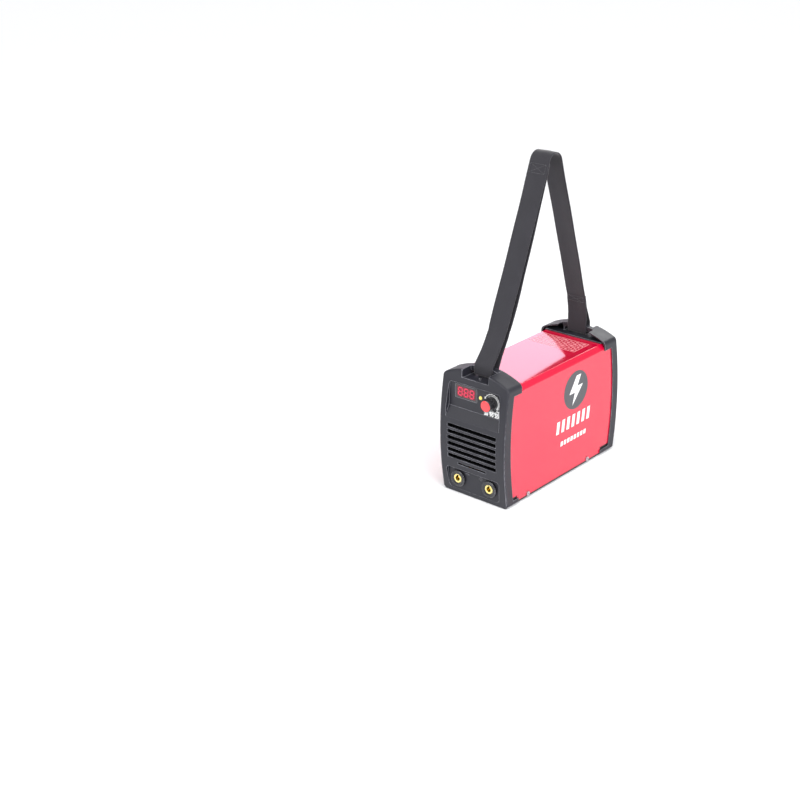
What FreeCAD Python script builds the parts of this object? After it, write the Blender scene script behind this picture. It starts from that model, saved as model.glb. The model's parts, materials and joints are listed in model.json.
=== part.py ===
import FreeCAD, Part
import math
import operator
import os
from types import SimpleNamespace

import Sketcher

# Shoulder-strap inverter welder: a folded steel cover on a tray, closed by two moulded bezels.
# Millimetres. +Z is up, the sockets and dial face -Y, and the origin is on the floor below the
# middle of the case.

Vector = FreeCAD.Vector
Rotation = FreeCAD.Rotation
Placement = FreeCAD.Placement

DIMENSIONS = {
    # case
    "case_length": 304, "case_width": 134, "cover_top": 205, "cover_width": 130,
    "cover_length": 295.6, "cover_chamfer": 7.8, "steel": 1.2, "floor_gap": 3.2,
    "tray_flange": 20, "flange_gap": 0.1,
    # bezel shell
    "face_height": 201, "face_bulge": 9.5, "face_back": 4, "face_wall": 3, "side_band": 16,
    "top_band": 36, "front_foot": 31, "rear_foot": 40, "foot_height": 11, "tab_bottom": 195,
    "arch_crest": 225, "arch_foot": 211.1, "arch_half": 61.5, "arch_corner": 9.5, "rim": 1.9,
    "arch_wall": 3, "base_wall": 3.1, "edge_round": 3.5,
    # strap anchor in the arch
    "notch_half": 27, "notch_floor": 209, "front_notch": 24, "front_bar": 12, "rear_notch": 15,
    "rear_bar": 7.5, "bar_bottom": 213.5, "cheek": 2.5, "shelf_top": 207.5,
    # front face
    "panel_top": 198, "panel_step": 155, "ledge_foot": 137, "panel_floor": 1,
    "sunk_floor": -1.5, "sunk_top": 48, "sunk_foot": 9, "louvre_width": 100.4,
    "louvre_height": 7, "louvre_pitch": 10.8, "louvre_first": 66.2,
    "display_x": -18.5, "display_z": 183.5, "display_width": 44, "display_tall": 23,
    "led_x": 11.4, "led_z": 182.8, "dial_x": 34.5, "dial_z": 180.2,
    # output sockets
    "socket_x": 32.5, "socket_z": 29, "socket_flange": 14.6, "socket_neck": 11, "socket_bore": 4.5,
    "socket_brass": 8, "socket_depth": 19,
    # knob
    "knob_base": 11, "knob_top": 10.2, "knob_length": 17.6, "cap_radius": 9.3, "shaft_radius": 3,
    # fan
    "fan_size": 92, "fan_depth": 25.4, "fan_z": 95, "fan_bore": 44.4, "fan_hub": 19,
    "fan_blade": 42, "fan_pitch": 41.25, "grille_radius": 43,
    # rear fittings
    "switch_z": 172, "rocker_radius": 9, "rocker_width": 20, "rear_x": 36, "rear_z": 28,
    "gland_thread": 9.8, "cable_radius": 5, "earth_radius": 4,
    # screws
    "foot_screw_x": 45, "foot_screw_in": 22, "screw_hole": 2.2, "cover_screw_hole": 2.1,
    # power electronics
    "board_z": 110, "board_thick": 2, "board_half": 60, "board_front": -52, "board_rear": 117,
    "sink_in": 12, "sink_out": 58, "sink_foot": 30, "sink_tall": 62, "sink_front": -40,
    "sink_rear": 105, "fins": 8,
    # strap
    "strap_width": 38, "strap_thick": 2.4,
}


class Size:
    """A length worked out from sheet cells: its value now, and the expression that gives it."""

    def __init__(self, value, text):
        self.value = float(value)
        self.text = text

    def __add__(self, other):
        return combine(self, other, "+")

    def __radd__(self, other):
        return combine(other, self, "+")

    def __sub__(self, other):
        return combine(self, other, "-")

    def __rsub__(self, other):
        return combine(other, self, "-")

    def __mul__(self, other):
        return combine(self, other, "*")

    def __rmul__(self, other):
        return combine(other, self, "*")

    def __truediv__(self, other):
        return combine(self, other, "/")

    def __neg__(self):
        return combine(0, self, "-")


OPERATORS = {"+": operator.add, "-": operator.sub, "*": operator.mul, "/": operator.truediv}


def value_of(size):
    return size.value if isinstance(size, Size) else float(size)


def text_of(size):
    return size.text if isinstance(size, Size) else f"{float(size):.6f}"


def combine(left, right, sign):
    value = OPERATORS[sign](value_of(left), value_of(right))
    return Size(value, f"({text_of(left)} {sign} {text_of(right)})")


DOC = FreeCAD.newDocument("welder")
D = SimpleNamespace(**{name: Size(value, f"Dims.{name}") for name, value in DIMENSIONS.items()})
SUBPARTS = []


def fill_sheet():
    sheet = DOC.addObject("Spreadsheet::Sheet", "Dims")
    for row, (name, value) in enumerate(DIMENSIONS.items(), start=1):
        sheet.set(f"A{row}", str(value))
        sheet.setAlias(f"A{row}", name)
    DOC.recompute()


def bind(item, path, size):
    item.setExpression(path, text_of(size))


def keep(item, label):
    """Give a finished sub-part the name of its node."""
    item.Label = label
    SUBPARTS.append(item)
    return item


# ---------------------------------------------------------------- Part primitives

AXIS_TURN = {
    "+x": Rotation(Vector(0, 1, 0), 90), "-x": Rotation(Vector(0, 1, 0), -90),
    "+y": Rotation(Vector(1, 0, 0), -90), "-y": Rotation(Vector(1, 0, 0), 90),
    "+z": Rotation(), "-z": Rotation(Vector(1, 0, 0), 180),
}


def place(item, at, axis="+z"):
    """Stand an object's own Z along an axis, with its origin at a point bound to the sheet."""
    item.Placement = Placement(Vector(0, 0, 0), AXIS_TURN[axis])
    for letter, size in zip("xyz", at):
        bind(item, f"Placement.Base.{letter}", size)
    return item


def box(name, size, at):
    item = DOC.addObject("Part::Box", name)
    for side, length in zip(("Length", "Width", "Height"), size):
        bind(item, side, length)
    return place(item, at)


def cylinder(name, radius, height, at, axis="+z"):
    item = DOC.addObject("Part::Cylinder", name)
    bind(item, "Radius", radius)
    bind(item, "Height", height)
    return place(item, at, axis)


def hexagon(name, flats, height, at, axis="+z"):
    item = DOC.addObject("Part::Prism", name)
    item.Polygon = 6
    bind(item, "Circumradius", flats / math.sqrt(3))
    bind(item, "Height", height)
    return place(item, at, axis)


def fuse(name, items):
    item = DOC.addObject("Part::MultiFuse", name)
    item.Shapes = items
    return item


def cut(name, base, tools):
    item = DOC.addObject("Part::Cut", name)
    item.Base = base
    item.Tool = tools[0] if len(tools) == 1 else fuse(name + "_tools", tools)
    return item


def group(name, items):
    item = DOC.addObject("Part::Compound", name)
    item.Links = items
    return item


def tube(name, outer, inner, height, at, axis="+z"):
    ring = cylinder(name + "_outer", outer, height, at, axis)
    return cut(name, ring, [cylinder(name + "_inner", inner, height, at, axis)])


def hex_nut(label, flats, height, hole, at, axis):
    nut = hexagon(label + "_hex", flats, height, at, axis)
    return cut(label, nut, [cylinder(label + "_hole", hole, height, at, axis)])


def screw(name, head_radius, head_height, radius, length, at, axis):
    """A pan-head screw: the head starts at the point and stands along the axis."""
    back = {"+": "-", "-": "+"}[axis[0]] + axis[1]
    head = cylinder(name + "_head", head_radius, head_height, at, axis)
    shank = cylinder(name + "_shank", radius, length, at, back)
    return fuse(name, [head, shank])


# ---------------------------------------------------------------- PartDesign helpers

def new_body(name, at=(0, 0, 0), axis="+z"):
    return place(DOC.addObject("PartDesign::Body", name), at, axis)


def origin_feature(body, role):
    return next(item for item in body.Origin.OriginFeatures if item.Role == role)


def new_sketch(body, role, offset=0):
    """A sketch on one of the body's origin planes, moved along the plane's normal."""
    sketch = body.newObject("Sketcher::SketchObject", body.Name + "_sketch")
    sketch.AttachmentSupport = [(origin_feature(body, role), "")]
    sketch.MapMode = "FlatFace"
    bind(sketch, "AttachmentOffset.Base.z", offset)
    return sketch


def limit(sketch, size, *terms):
    """Add a constraint that takes its value from the sheet."""
    index = sketch.addConstraint(Sketcher.Constraint(*terms, value_of(size)))
    if isinstance(size, Size):
        bind(sketch, f"Constraints[{index}]", size)


def draw_outline(sketch, corners, arcs=None):
    """A closed outline. arcs maps a corner's number to (radius, point on the way to the next)."""
    arcs = arcs or {}
    first = sketch.GeometryCount
    points = [Vector(value_of(x), value_of(y), 0) for x, y in corners]
    ends = []
    for index, start in enumerate(points):
        stop = points[(index + 1) % len(points)]
        if index not in arcs:
            sketch.addGeometry(Part.LineSegment(start, stop), False)
            ends.append((1, 2))
            continue
        through = Vector(value_of(arcs[index][1][0]), value_of(arcs[index][1][1]), 0)
        left_turn = (through - start).cross(stop - through).z > 0
        ends.append((1, 2) if left_turn else (2, 1))
        rim = (start, through, stop) if left_turn else (stop, through, start)
        sketch.addGeometry(Part.ArcOfCircle(*rim), False)
    for index, (x, y) in enumerate(corners):
        before = (index - 1) % len(points)
        sketch.addConstraint(Sketcher.Constraint(
            "Coincident", first + before, ends[before][1], first + index, ends[index][0]))
        limit(sketch, x, "DistanceX", -1, 1, first + index, ends[index][0])
        limit(sketch, y, "DistanceY", -1, 1, first + index, ends[index][0])
    for index, (radius, _) in arcs.items():
        limit(sketch, radius, "Radius", first + index)


def draw_rectangle(sketch, x_low, y_low, x_high, y_high):
    draw_outline(sketch, [(x_low, y_low), (x_high, y_low), (x_high, y_high), (x_low, y_high)])


def draw_circle(sketch, x, y, radius):
    centre = Vector(value_of(x), value_of(y), 0)
    index = sketch.addGeometry(Part.Circle(centre, Vector(0, 0, 1), value_of(radius)), False)
    limit(sketch, radius, "Radius", index)
    limit(sketch, x, "DistanceX", -1, 1, index, 3)
    limit(sketch, y, "DistanceY", -1, 1, index, 3)


def extrude(body, kind, sketch, length, reverse=False, both=False):
    """A Pad or a Pocket. A Pocket runs against the sketch's normal unless it is reversed."""
    feature = body.newObject("PartDesign::" + kind, f"{body.Name}_{kind.lower()}")
    feature.Profile = sketch
    feature.Reversed = reverse
    feature.SideType = "Symmetric" if both else "One side"
    bind(feature, "Length", length)
    return feature


def pattern(body, kind, feature, axis_role, count, span):
    """Repeat a feature along or about one of the body's axes."""
    repeat = body.newObject("PartDesign::" + kind, f"{body.Name}_pattern")
    repeat.Originals = [feature]
    axis = (origin_feature(body, axis_role), [""])
    if kind == "PolarPattern":
        repeat.Axis = axis
        repeat.Angle = span
    else:
        repeat.Direction = axis
        bind(repeat, "Length", span)
    repeat.Occurrences = count
    body.Tip = repeat
    return repeat


def turned(label, profile, at, axis):
    """A lathe-turned piece: (radius, height) corners spun about the body's own Z."""
    body = new_body(label, at, axis)
    sketch = new_sketch(body, "XZ_Plane")
    draw_outline(sketch, profile)
    spin = body.newObject("PartDesign::Revolution", label + "_turning")
    spin.Profile = sketch
    spin.ReferenceAxis = (sketch, ["V_Axis"])
    spin.Angle = 360
    return body


def arc_radius(half_chord, rise):
    return (half_chord * half_chord + rise * rise) / (2 * rise)


# ---------------------------------------------------------------- bezels

FACE_MIDDLE = D.face_height / 2
FACE_RADIUS = arc_radius(FACE_MIDDLE, D.face_bulge)
FRONT_Y = -D.case_length / 2
REAR_Y = D.case_length / 2
ARCH_SCREW_Y = -138


def face_y(height):
    """How far the bulging face stands at a height, in the bezel's own frame."""
    share = (height - FACE_MIDDLE) / FACE_MIDDLE
    return -D.face_bulge * (1 - share * share)


def cut_from_front(body, depth, draw):
    """Sink what draw() sketches into the face, down to a plane at the given depth."""
    reach = 20
    sketch = new_sketch(body, "XZ_Plane", reach)
    draw(sketch)
    return extrude(body, "Pocket", sketch, reach + depth)


def cut_along_x(body, width, draw):
    sketch = new_sketch(body, "YZ_Plane")
    draw(sketch)
    return extrude(body, "Pocket", sketch, width, both=True)


def edges_where(feature, test):
    """Names of a feature's edges whose bounding box passes the test."""
    edges = enumerate(feature.Shape.Edges, start=1)
    return [f"Edge{number}" for number, edge in edges if test(edge.BoundBox)]


def round_edges(body, feature, radius, test):
    """Fillet the chosen edges, found on the solid as it stands."""
    DOC.recompute()
    fillet = body.newObject("PartDesign::Fillet", body.Name + "_round")
    fillet.Base = (feature, edges_where(feature, test))
    bind(fillet, "Radius", radius)
    return fillet


def bezel_blank(body, foot_band):
    """The solid band with its convex face, cut to the arched outline seen from the front."""
    profile = new_sketch(body, "YZ_Plane")
    side_middle = (D.tab_bottom + D.foot_height) / 2
    side_dip = D.side_band - face_y(D.foot_height) + face_y(side_middle)
    corners = [
        (0, 0), (0, D.face_height), (2, D.arch_crest), (D.top_band, D.arch_crest),
        (D.top_band, D.tab_bottom), (D.side_band, D.tab_bottom), (D.side_band, D.foot_height),
        (foot_band, D.foot_height), (foot_band, 0),
    ]
    arcs = {0: (FACE_RADIUS, (-D.face_bulge, FACE_MIDDLE)), 5: (FACE_RADIUS, (side_dip, side_middle))}
    draw_outline(profile, corners, arcs)
    extrude(body, "Pad", profile, D.case_width, both=True)

    half = D.case_width / 2
    corner = 5
    shoulder = D.arch_foot - 8.6
    arch = [
        (-half + corner, 0), (half - corner, 0), (half, corner), (half, shoulder),
        (D.arch_half, D.arch_foot), (-D.arch_half, D.arch_foot), (-half, shoulder),
        (-half, corner),
    ]
    middle = D.arch_half + 4
    arcs = {
        3: (D.arch_corner, (middle, D.arch_foot - 3.5)),
        4: (arc_radius(D.arch_half, D.arch_crest - D.arch_foot), (0, D.arch_crest)),
        5: (D.arch_corner, (-middle, D.arch_foot - 3.5)),
    }

    def outside(sketch):
        draw_rectangle(sketch, -90, -20, 90, 250)
        draw_outline(sketch, arch, arcs)

    trimmed = cut_from_front(body, 60, outside)
    return round_edges(body, trimmed, D.edge_round, lambda edge: edge.YMax < 3)


def bezel_hollow(body, lens_half, lens_foot, lens_top):
    """Hollow the band for the cover, and thin the face behind its grille."""
    half = D.case_width / 2 - D.rim
    crest = D.arch_crest - D.arch_wall
    foot = D.arch_foot - 1.1
    shoulder = D.arch_foot - 9.1
    arch_half = D.arch_half - 1.6
    sketch = new_sketch(body, "XZ_Plane", -40)
    corners = [
        (-half, D.base_wall), (half, D.base_wall), (half, shoulder), (arch_half, foot),
        (-arch_half, foot), (-half, shoulder),
    ]
    draw_outline(sketch, corners, {3: (arc_radius(arch_half, crest - foot), (0, crest))})
    extrude(body, "Pocket", sketch, 40 - D.face_back, reverse=True)

    def lens(sketch):
        middle = (lens_foot + lens_top) / 2
        wall = D.face_wall
        corners = [
            (D.face_back + 1, lens_foot), (face_y(lens_foot) + wall, lens_foot),
            (face_y(lens_top) + wall, lens_top), (D.face_back + 1, lens_top),
        ]
        draw_outline(sketch, corners, {1: (FACE_RADIUS, (face_y(middle) + wall, middle))})

    cut_along_x(body, 2 * lens_half, lens)


def strap_anchor(body, notch_depth, bar_depth):
    """The notch in the arch, the shelf and cheeks round it, and the bar that the webbing wraps."""
    cut_from_front(body, notch_depth, lambda sketch: draw_rectangle(
        sketch, -D.notch_half, D.notch_floor, D.notch_half, D.arch_crest + 5))
    bar_end = notch_depth + bar_depth
    if value_of(bar_end) < value_of(D.top_band):
        inner = new_sketch(body, "XZ_Plane", -40)
        reach = D.notch_half + 6
        draw_rectangle(inner, -reach, D.bar_bottom - 1, reach, D.arch_crest + 5)
        extrude(body, "Pocket", inner, 40 - bar_end, reverse=True)

    shelf = new_sketch(body, "XZ_Plane", -3)
    half = D.arch_half - 4
    draw_rectangle(shelf, -half, D.cover_top + 0.3, half, D.shelf_top)
    extrude(body, "Pad", shelf, D.top_band - 3, reverse=True)

    bar = new_sketch(body, "YZ_Plane")
    low = D.bar_bottom
    ease = 2
    top = D.arch_crest - 2.5
    draw_outline(bar, [
        (notch_depth + ease, low), (bar_end - ease, low), (bar_end, low + ease),
        (bar_end, top - ease), (bar_end - ease, top), (notch_depth + ease, top),
        (notch_depth, top - ease), (notch_depth, low + ease),
    ])
    extrude(body, "Pad", bar, 2 * D.notch_half + 2, both=True)

    for side in (-1, 1):
        cheek = new_sketch(body, "XZ_Plane", -2)
        inner = side * D.notch_half
        outer = side * (D.notch_half + D.cheek)
        left, right = (inner, outer) if side > 0 else (outer, inner)
        draw_rectangle(cheek, left, D.cover_top + 0.3, right, D.arch_crest - 4.2)
        extrude(body, "Pad", cheek, bar_end - 2, reverse=True)


def sunk_lower_panel(body):
    """The flat, slightly sunk field that carries the lower fittings of both bezels."""
    foot, top = D.sunk_foot, D.sunk_top
    corners = [
        (-48, foot), (48, foot), (52, foot + 4), (55, top - 4), (51, top), (-51, top),
        (-55, top - 4), (-52, foot + 4),
    ]
    cut_from_front(body, D.sunk_floor, lambda sketch: draw_outline(sketch, corners))


def foot_screw_holes(body):
    """Countersinks under the bezel for the screws into the tray."""
    for radius, depth in ((D.screw_hole, 5), (4.2, 1.8)):
        sketch = new_sketch(body, "XY_Plane")
        for side in (-1, 1):
            draw_circle(sketch, side * D.foot_screw_x, D.foot_screw_in, radius)
        extrude(body, "Pocket", sketch, depth, reverse=True)


def front_openings(sketch):
    """Everything that passes straight through the front face."""
    half = D.display_width / 2
    tall = D.display_tall / 2
    draw_rectangle(sketch, D.display_x - half, D.display_z - tall,
                   D.display_x + half, D.display_z + tall)
    draw_circle(sketch, D.led_x, D.led_z, 3.1)
    draw_circle(sketch, D.dial_x, D.dial_z, 3.6)
    draw_rectangle(sketch, -29, 57.2, 29, 60.6)
    for side in (-1, 1):
        draw_circle(sketch, side * D.socket_x, D.socket_z, D.socket_neck + 0.1)


def cut_louvres(body):
    """Six level slots through the face."""
    def slot(sketch):
        draw_rectangle(sketch, -16, D.louvre_first, 8, D.louvre_first + D.louvre_height)

    first = cut_along_x(body, D.louvre_width, slot)
    pattern(body, "LinearPattern", first, "Z_Axis", 6, 5 * D.louvre_pitch)


def polarity_marks(body):
    """The raised minus and plus beside the sockets."""
    minus = new_sketch(body, "XZ_Plane", -D.sunk_floor)
    draw_rectangle(minus, -17.5, 40.1, -10.5, 41.9)
    extrude(body, "Pad", minus, 0.7)
    plus = new_sketch(body, "XZ_Plane", -D.sunk_floor)
    arm, bar = 3.5, 0.9
    steps = [
        (bar, -arm), (bar, -bar), (arm, -bar), (arm, bar), (bar, bar), (bar, arm),
        (-bar, arm), (-bar, bar), (-arm, bar), (-arm, -bar), (-bar, -bar), (-bar, -arm),
    ]
    draw_outline(plus, [(14 + x, 41 + z) for x, z in steps])
    extrude(body, "Pad", plus, 0.7)


def control_field(body):
    """The sunk control panel with its rounded top corners, and the bevelled ledge below it."""
    step, top = D.panel_step, D.panel_top
    corners = [(-54.5, step), (54.5, step), (51.9, top - 5), (47, top), (-47, top), (-51.9, top - 5)]
    arcs = {2: (5, (50.4, top - 1.5)), 4: (5, (-50.4, top - 1.5))}
    cut_from_front(body, D.panel_floor, lambda sketch: draw_outline(sketch, corners, arcs))
    foot = D.ledge_foot
    ledge = [(D.panel_floor, step + 0.5), (-20, step + 0.5), (-20, foot), (face_y(foot), foot)]
    cut_along_x(body, 109, lambda sketch: draw_outline(sketch, ledge))


def make_front_bezel():
    body = new_body("front_bezel", (0, FRONT_Y, 0))
    bezel_blank(body, D.front_foot)
    bezel_hollow(body, 58, 52, 132)
    strap_anchor(body, D.front_notch, D.front_bar)
    sunk_lower_panel(body)
    control_field(body)
    cut_louvres(body)
    cut_from_front(body, 10, front_openings)
    foot_screw_holes(body)
    polarity_marks(body)
    shelf_hole = new_sketch(body, "XY_Plane", D.shelf_top - 8)
    draw_circle(shelf_hole, 0, ARCH_SCREW_Y - FRONT_Y, 1.6)
    extrude(body, "Pocket", shelf_hole, 10, reverse=True)
    return keep(body, "front_bezel")


def rear_openings(sketch):
    """The switch cut-out, the fan grille's slots, and the round holes of the rear face."""
    draw_rectangle(sketch, -13.6, D.switch_z - 11.1, 13.6, D.switch_z + 11.1)
    draw_circle(sketch, D.rear_x, D.rear_z, D.gland_thread + 0.3)
    draw_circle(sketch, -D.rear_x, D.rear_z, D.earth_radius + 0.2)
    slots, pitch, tall = 9, 9.2, 5.4
    radius = DIMENSIONS["grille_radius"]
    for index in range(slots):
        offset = (index - (slots - 1) / 2) * pitch
        half = math.sqrt(radius ** 2 - (abs(offset) + tall / 2) ** 2)
        for left, right in ((-half, -1.6), (1.6, half)):
            low = D.fan_z + offset - tall / 2
            draw_rectangle(sketch, left, low, right, low + tall)
    for side in (-1, 1):
        for rise in (-1, 1):
            draw_circle(sketch, side * D.fan_pitch, D.fan_z + rise * D.fan_pitch, 2.3)


def make_rear_bezel():
    body = new_body("rear_bezel")
    body.Placement = Placement(Vector(0, value_of(REAR_Y), 0), Rotation(Vector(0, 0, 1), 180))
    bind(body, "Placement.Base.y", REAR_Y)
    bezel_blank(body, D.rear_foot)
    bezel_hollow(body, 43.6, 52, 138)
    strap_anchor(body, D.rear_notch, D.rear_bar)
    sunk_lower_panel(body)
    cut_from_front(body, 0, lambda sketch: draw_rectangle(
        sketch, -19, D.switch_z - 16, 19, D.switch_z + 16))
    cut_from_front(body, 10, rear_openings)

    def screw_seats(sketch):
        for side in (-1, 1):
            for rise in (-1, 1):
                draw_circle(sketch, side * D.fan_pitch, D.fan_z + rise * D.fan_pitch, 4.4)

    cut_from_front(body, -3, screw_seats)
    foot_screw_holes(body)
    return keep(body, "rear_bezel")


# ---------------------------------------------------------------- cover and tray

COVER_SCREWS_Y = (-95, 74)
COVER_SCREW_Z = 8.6
BOARD_POSTS = [(x, y) for x in (-55, 55) for y in (-48, 113)]
SINK_POSTS = [(x, y) for x in (-35, 35) for y in (-25, 90)]
FOOT_SCREWS = [(side * D.foot_screw_x, end * (REAR_Y - D.foot_screw_in))
               for side in (-1, 1) for end in (-1, 1)]


def make_cover():
    """One folded sheet: two sides, two slanted corners and the top."""
    body = new_body("cover", (0, 0, 0))
    half = D.cover_width / 2
    inner = half - D.steel
    top = D.cover_top
    slope = 0.41 * D.steel
    foot = D.floor_gap + D.steel + 1.4
    sketch = new_sketch(body, "XZ_Plane")
    outside = [(half, foot), (half, top - D.cover_chamfer), (half - D.cover_chamfer, top)]
    inside = [(inner, foot), (inner, top - D.cover_chamfer - slope),
              (half - D.cover_chamfer - slope, top - D.steel)]
    right = outside
    left = [(-x, z) for x, z in reversed(outside)]
    under = inside[::-1]
    over = [(-x, z) for x, z in inside]
    draw_outline(sketch, right + left + over + under)
    sheet = extrude(body, "Pad", sketch, D.cover_length, both=True)
    folds = {value_of(top), value_of(top - D.cover_chamfer)}
    round_edges(body, sheet, 1.6, lambda edge: edge.YLength > 200 and edge.ZMin > 150
                and min(abs(edge.ZMin - fold) for fold in folds) < 0.01)
    holes = new_sketch(body, "YZ_Plane")
    for y in COVER_SCREWS_Y:
        draw_circle(holes, y, COVER_SCREW_Z, D.cover_screw_hole)
    extrude(body, "Pocket", holes, D.case_width + 10, both=True)
    ends = new_sketch(body, "YZ_Plane")
    draw_rectangle(ends, -D.case_length, 0, FRONT_Y + D.front_foot - 2, D.foot_height + 4.6)
    draw_rectangle(ends, REAR_Y - D.rear_foot + 2, 0, D.case_length, D.foot_height + 4.6)
    extrude(body, "Pocket", ends, D.case_width + 10, both=True)
    top_hole = new_sketch(body, "XY_Plane", top - 5)
    draw_circle(top_hole, 0, ARCH_SCREW_Y, 1.6)
    extrude(body, "Pocket", top_hole, 10, reverse=True)
    return keep(body, "cover")


def make_base_tray():
    """The bottom tray: a floor with a flange up inside each side of the cover."""
    body = new_body("base_tray", (0, 0, 0))
    half = D.cover_width / 2
    outer = half - D.steel - D.flange_gap
    low = D.floor_gap
    top = low + D.steel
    sketch = new_sketch(body, "XZ_Plane")
    draw_outline(sketch, [
        (-half, low), (half, low), (half, top), (outer, top), (outer, D.tray_flange),
        (outer - D.steel, D.tray_flange), (outer - D.steel, top), (-outer + D.steel, top),
        (-outer + D.steel, D.tray_flange), (-outer, D.tray_flange), (-outer, top), (-half, top),
    ])
    extrude(body, "Pad", sketch, D.cover_length, both=True)
    side_holes = new_sketch(body, "YZ_Plane")
    for y in COVER_SCREWS_Y:
        draw_circle(side_holes, y, COVER_SCREW_Z, D.cover_screw_hole)
    extrude(body, "Pocket", side_holes, D.case_width + 10, both=True)
    floor_holes = new_sketch(body, "XY_Plane")
    for x, y in BOARD_POSTS + SINK_POSTS + FOOT_SCREWS:
        draw_circle(floor_holes, x, y, D.screw_hole)
    extrude(body, "Pocket", floor_holes, 10, reverse=True)
    return keep(body, "base_tray")


def make_case_screws():
    side_screws = []
    for y in COVER_SCREWS_Y:
        for sign, axis in ((-1, "-x"), (1, "+x")):
            at = (sign * D.cover_width / 2, y, COVER_SCREW_Z)
            side_screws.append(screw(f"side_screw_{axis}_{y}", 3.8, 2, 1.95, 5, at, axis))
    keep(group("cover_screws", side_screws), "cover_screws")
    foot_screws = []
    for number, (x, y) in enumerate(FOOT_SCREWS):
        at = (x, y, 1.8)
        foot_screws.append(screw(f"foot_screw_{number}", 3.9, 1.5, 2, 8, at, "-z"))
    keep(group("foot_screws", foot_screws), "foot_screws")
    keep(screw("arch_screw", 2.6, 1.6, 1.5, 6, (0, ARCH_SCREW_Y, D.shelf_top), "+z"), "arch_screw")


# ---------------------------------------------------------------- output sockets

SOCKET_Y = FRONT_Y + D.sunk_floor
BAR_Y = SOCKET_Y + 20.1
BAR_WIDE = 16
BAR_THICK = 2


def make_sockets():
    """Two quarter-turn panel sockets: insulator, brass insert, locknut, bar and stud nut."""
    wall = D.face_back - D.sunk_floor
    neck = D.socket_neck
    brass = D.socket_brass
    for sign, name in ((-1, "minus"), (1, "plus")):
        x = sign * D.socket_x
        at = (x, SOCKET_Y, D.socket_z)
        shell = [
            (brass + 0.1, -14), (neck, -14), (neck, 0), (D.socket_flange, 0),
            (D.socket_flange, 3), (D.socket_flange - 1.2, 4.4), (brass + 2.2, 4.4),
            (brass + 0.1, 3.4),
        ]
        keep(turned(f"socket_{name}_shell", shell, at, "-y"), f"socket_{name}_shell")
        mouth = 3.2
        floor = mouth - D.socket_depth
        insert = [
            (0, -38), (4, -38), (4, -20), (10, -20), (10, -14.2), (brass, -14.2),
            (brass, mouth - 0.6), (brass - 0.6, mouth), (D.socket_bore, mouth),
            (D.socket_bore, floor), (0, floor),
        ]
        body = turned(f"socket_{name}_insert", insert, at, "-y")
        key = new_sketch(body, "XY_Plane", mouth + 1)
        draw_rectangle(key, -1.8, 3.6, 1.8, 6.6)
        extrude(body, "Pocket", key, 11)
        keep(body, f"socket_{name}_insert")
        lock_y = SOCKET_Y + wall
        lock_at = (x, lock_y, D.socket_z)
        nut = hex_nut(f"socket_{name}_locknut", 27, 5, neck + 0.1, lock_at, "+y")
        keep(nut, f"socket_{name}_locknut")
        make_output_bar(x, sign, name)
        nut_at = (x, BAR_Y + BAR_THICK + 0.1, D.socket_z)
        stud_nut = hex_nut(f"socket_{name}_nut", 13, 6.5, 4.05, nut_at, "+y")
        keep(stud_nut, f"socket_{name}_nut")


def make_output_bar(x, sign, name):
    """The copper bar from a socket's stud up to the power parts."""
    foot = D.socket_z - 9
    left = x - BAR_WIDE / 2
    tall = 50
    upright = box(f"bar_{name}_upright", (BAR_WIDE, BAR_THICK, tall), (left, BAR_Y, foot))
    run = box(f"bar_{name}_run", (BAR_WIDE, 16, BAR_THICK), (left, BAR_Y, foot + tall - BAR_THICK))
    hole = cylinder(f"bar_{name}_hole", 4.2, 4, (x, BAR_Y - 1, D.socket_z), "+y")
    joined = fuse(f"bar_{name}_joined", [upright, run])
    keep(cut(f"output_bar_{name}", joined, [hole]), f"output_bar_{name}")


# ---------------------------------------------------------------- control panel

PANEL_Y = FRONT_Y + D.panel_floor
BOARD_GAP = 12
BOARD_FACE = PANEL_Y + BOARD_GAP


def make_display():
    half = D.display_width / 2 - 0.1
    tall = D.display_tall / 2 - 0.1
    depth = D.face_back - D.panel_floor
    pane = box("pane", (2 * half, depth - 0.2, 2 * tall),
               (D.display_x - half, PANEL_Y + 0.2, D.display_z - tall))
    lip = box("pane_lip", (2 * half + 4, 1, 2 * tall + 2),
              (D.display_x - half - 2, PANEL_Y + depth, D.display_z - tall - 1))
    keep(fuse("display_window", [pane, lip]), "display_window")
    digits = box("digits", (38, 7, 19), (D.display_x - 19, BOARD_FACE - 7, D.display_z - 9.5))
    keep(digits, "display_module")
    board = box("board", (100, 1.6, 41), (-50, BOARD_FACE, 157.5))
    lamp_seat = cylinder("led_seat", 3.1, 3, (D.led_x, BOARD_FACE - 0.5, D.led_z), "+y")
    keep(cut("display_board", board, [lamp_seat]), "display_board")
    posts = []
    for x in (-46, 46):
        for z in (161, 195):
            at = (x, PANEL_Y + depth, z)
            posts.append(cylinder(f"display_post_{x}_{z}", 2.6, BOARD_GAP - depth, at, "+y"))
    keep(group("display_posts", posts), "display_posts")
    lamp = [(0, -11.5), (3, -11.5), (3, 0), (2.7, 1.1), (1.7, 2.1), (0, 2.6)]
    led = turned("indicator_led", lamp, (D.led_x, PANEL_Y, D.led_z), "-y")
    keep(led, "indicator_led")


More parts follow.
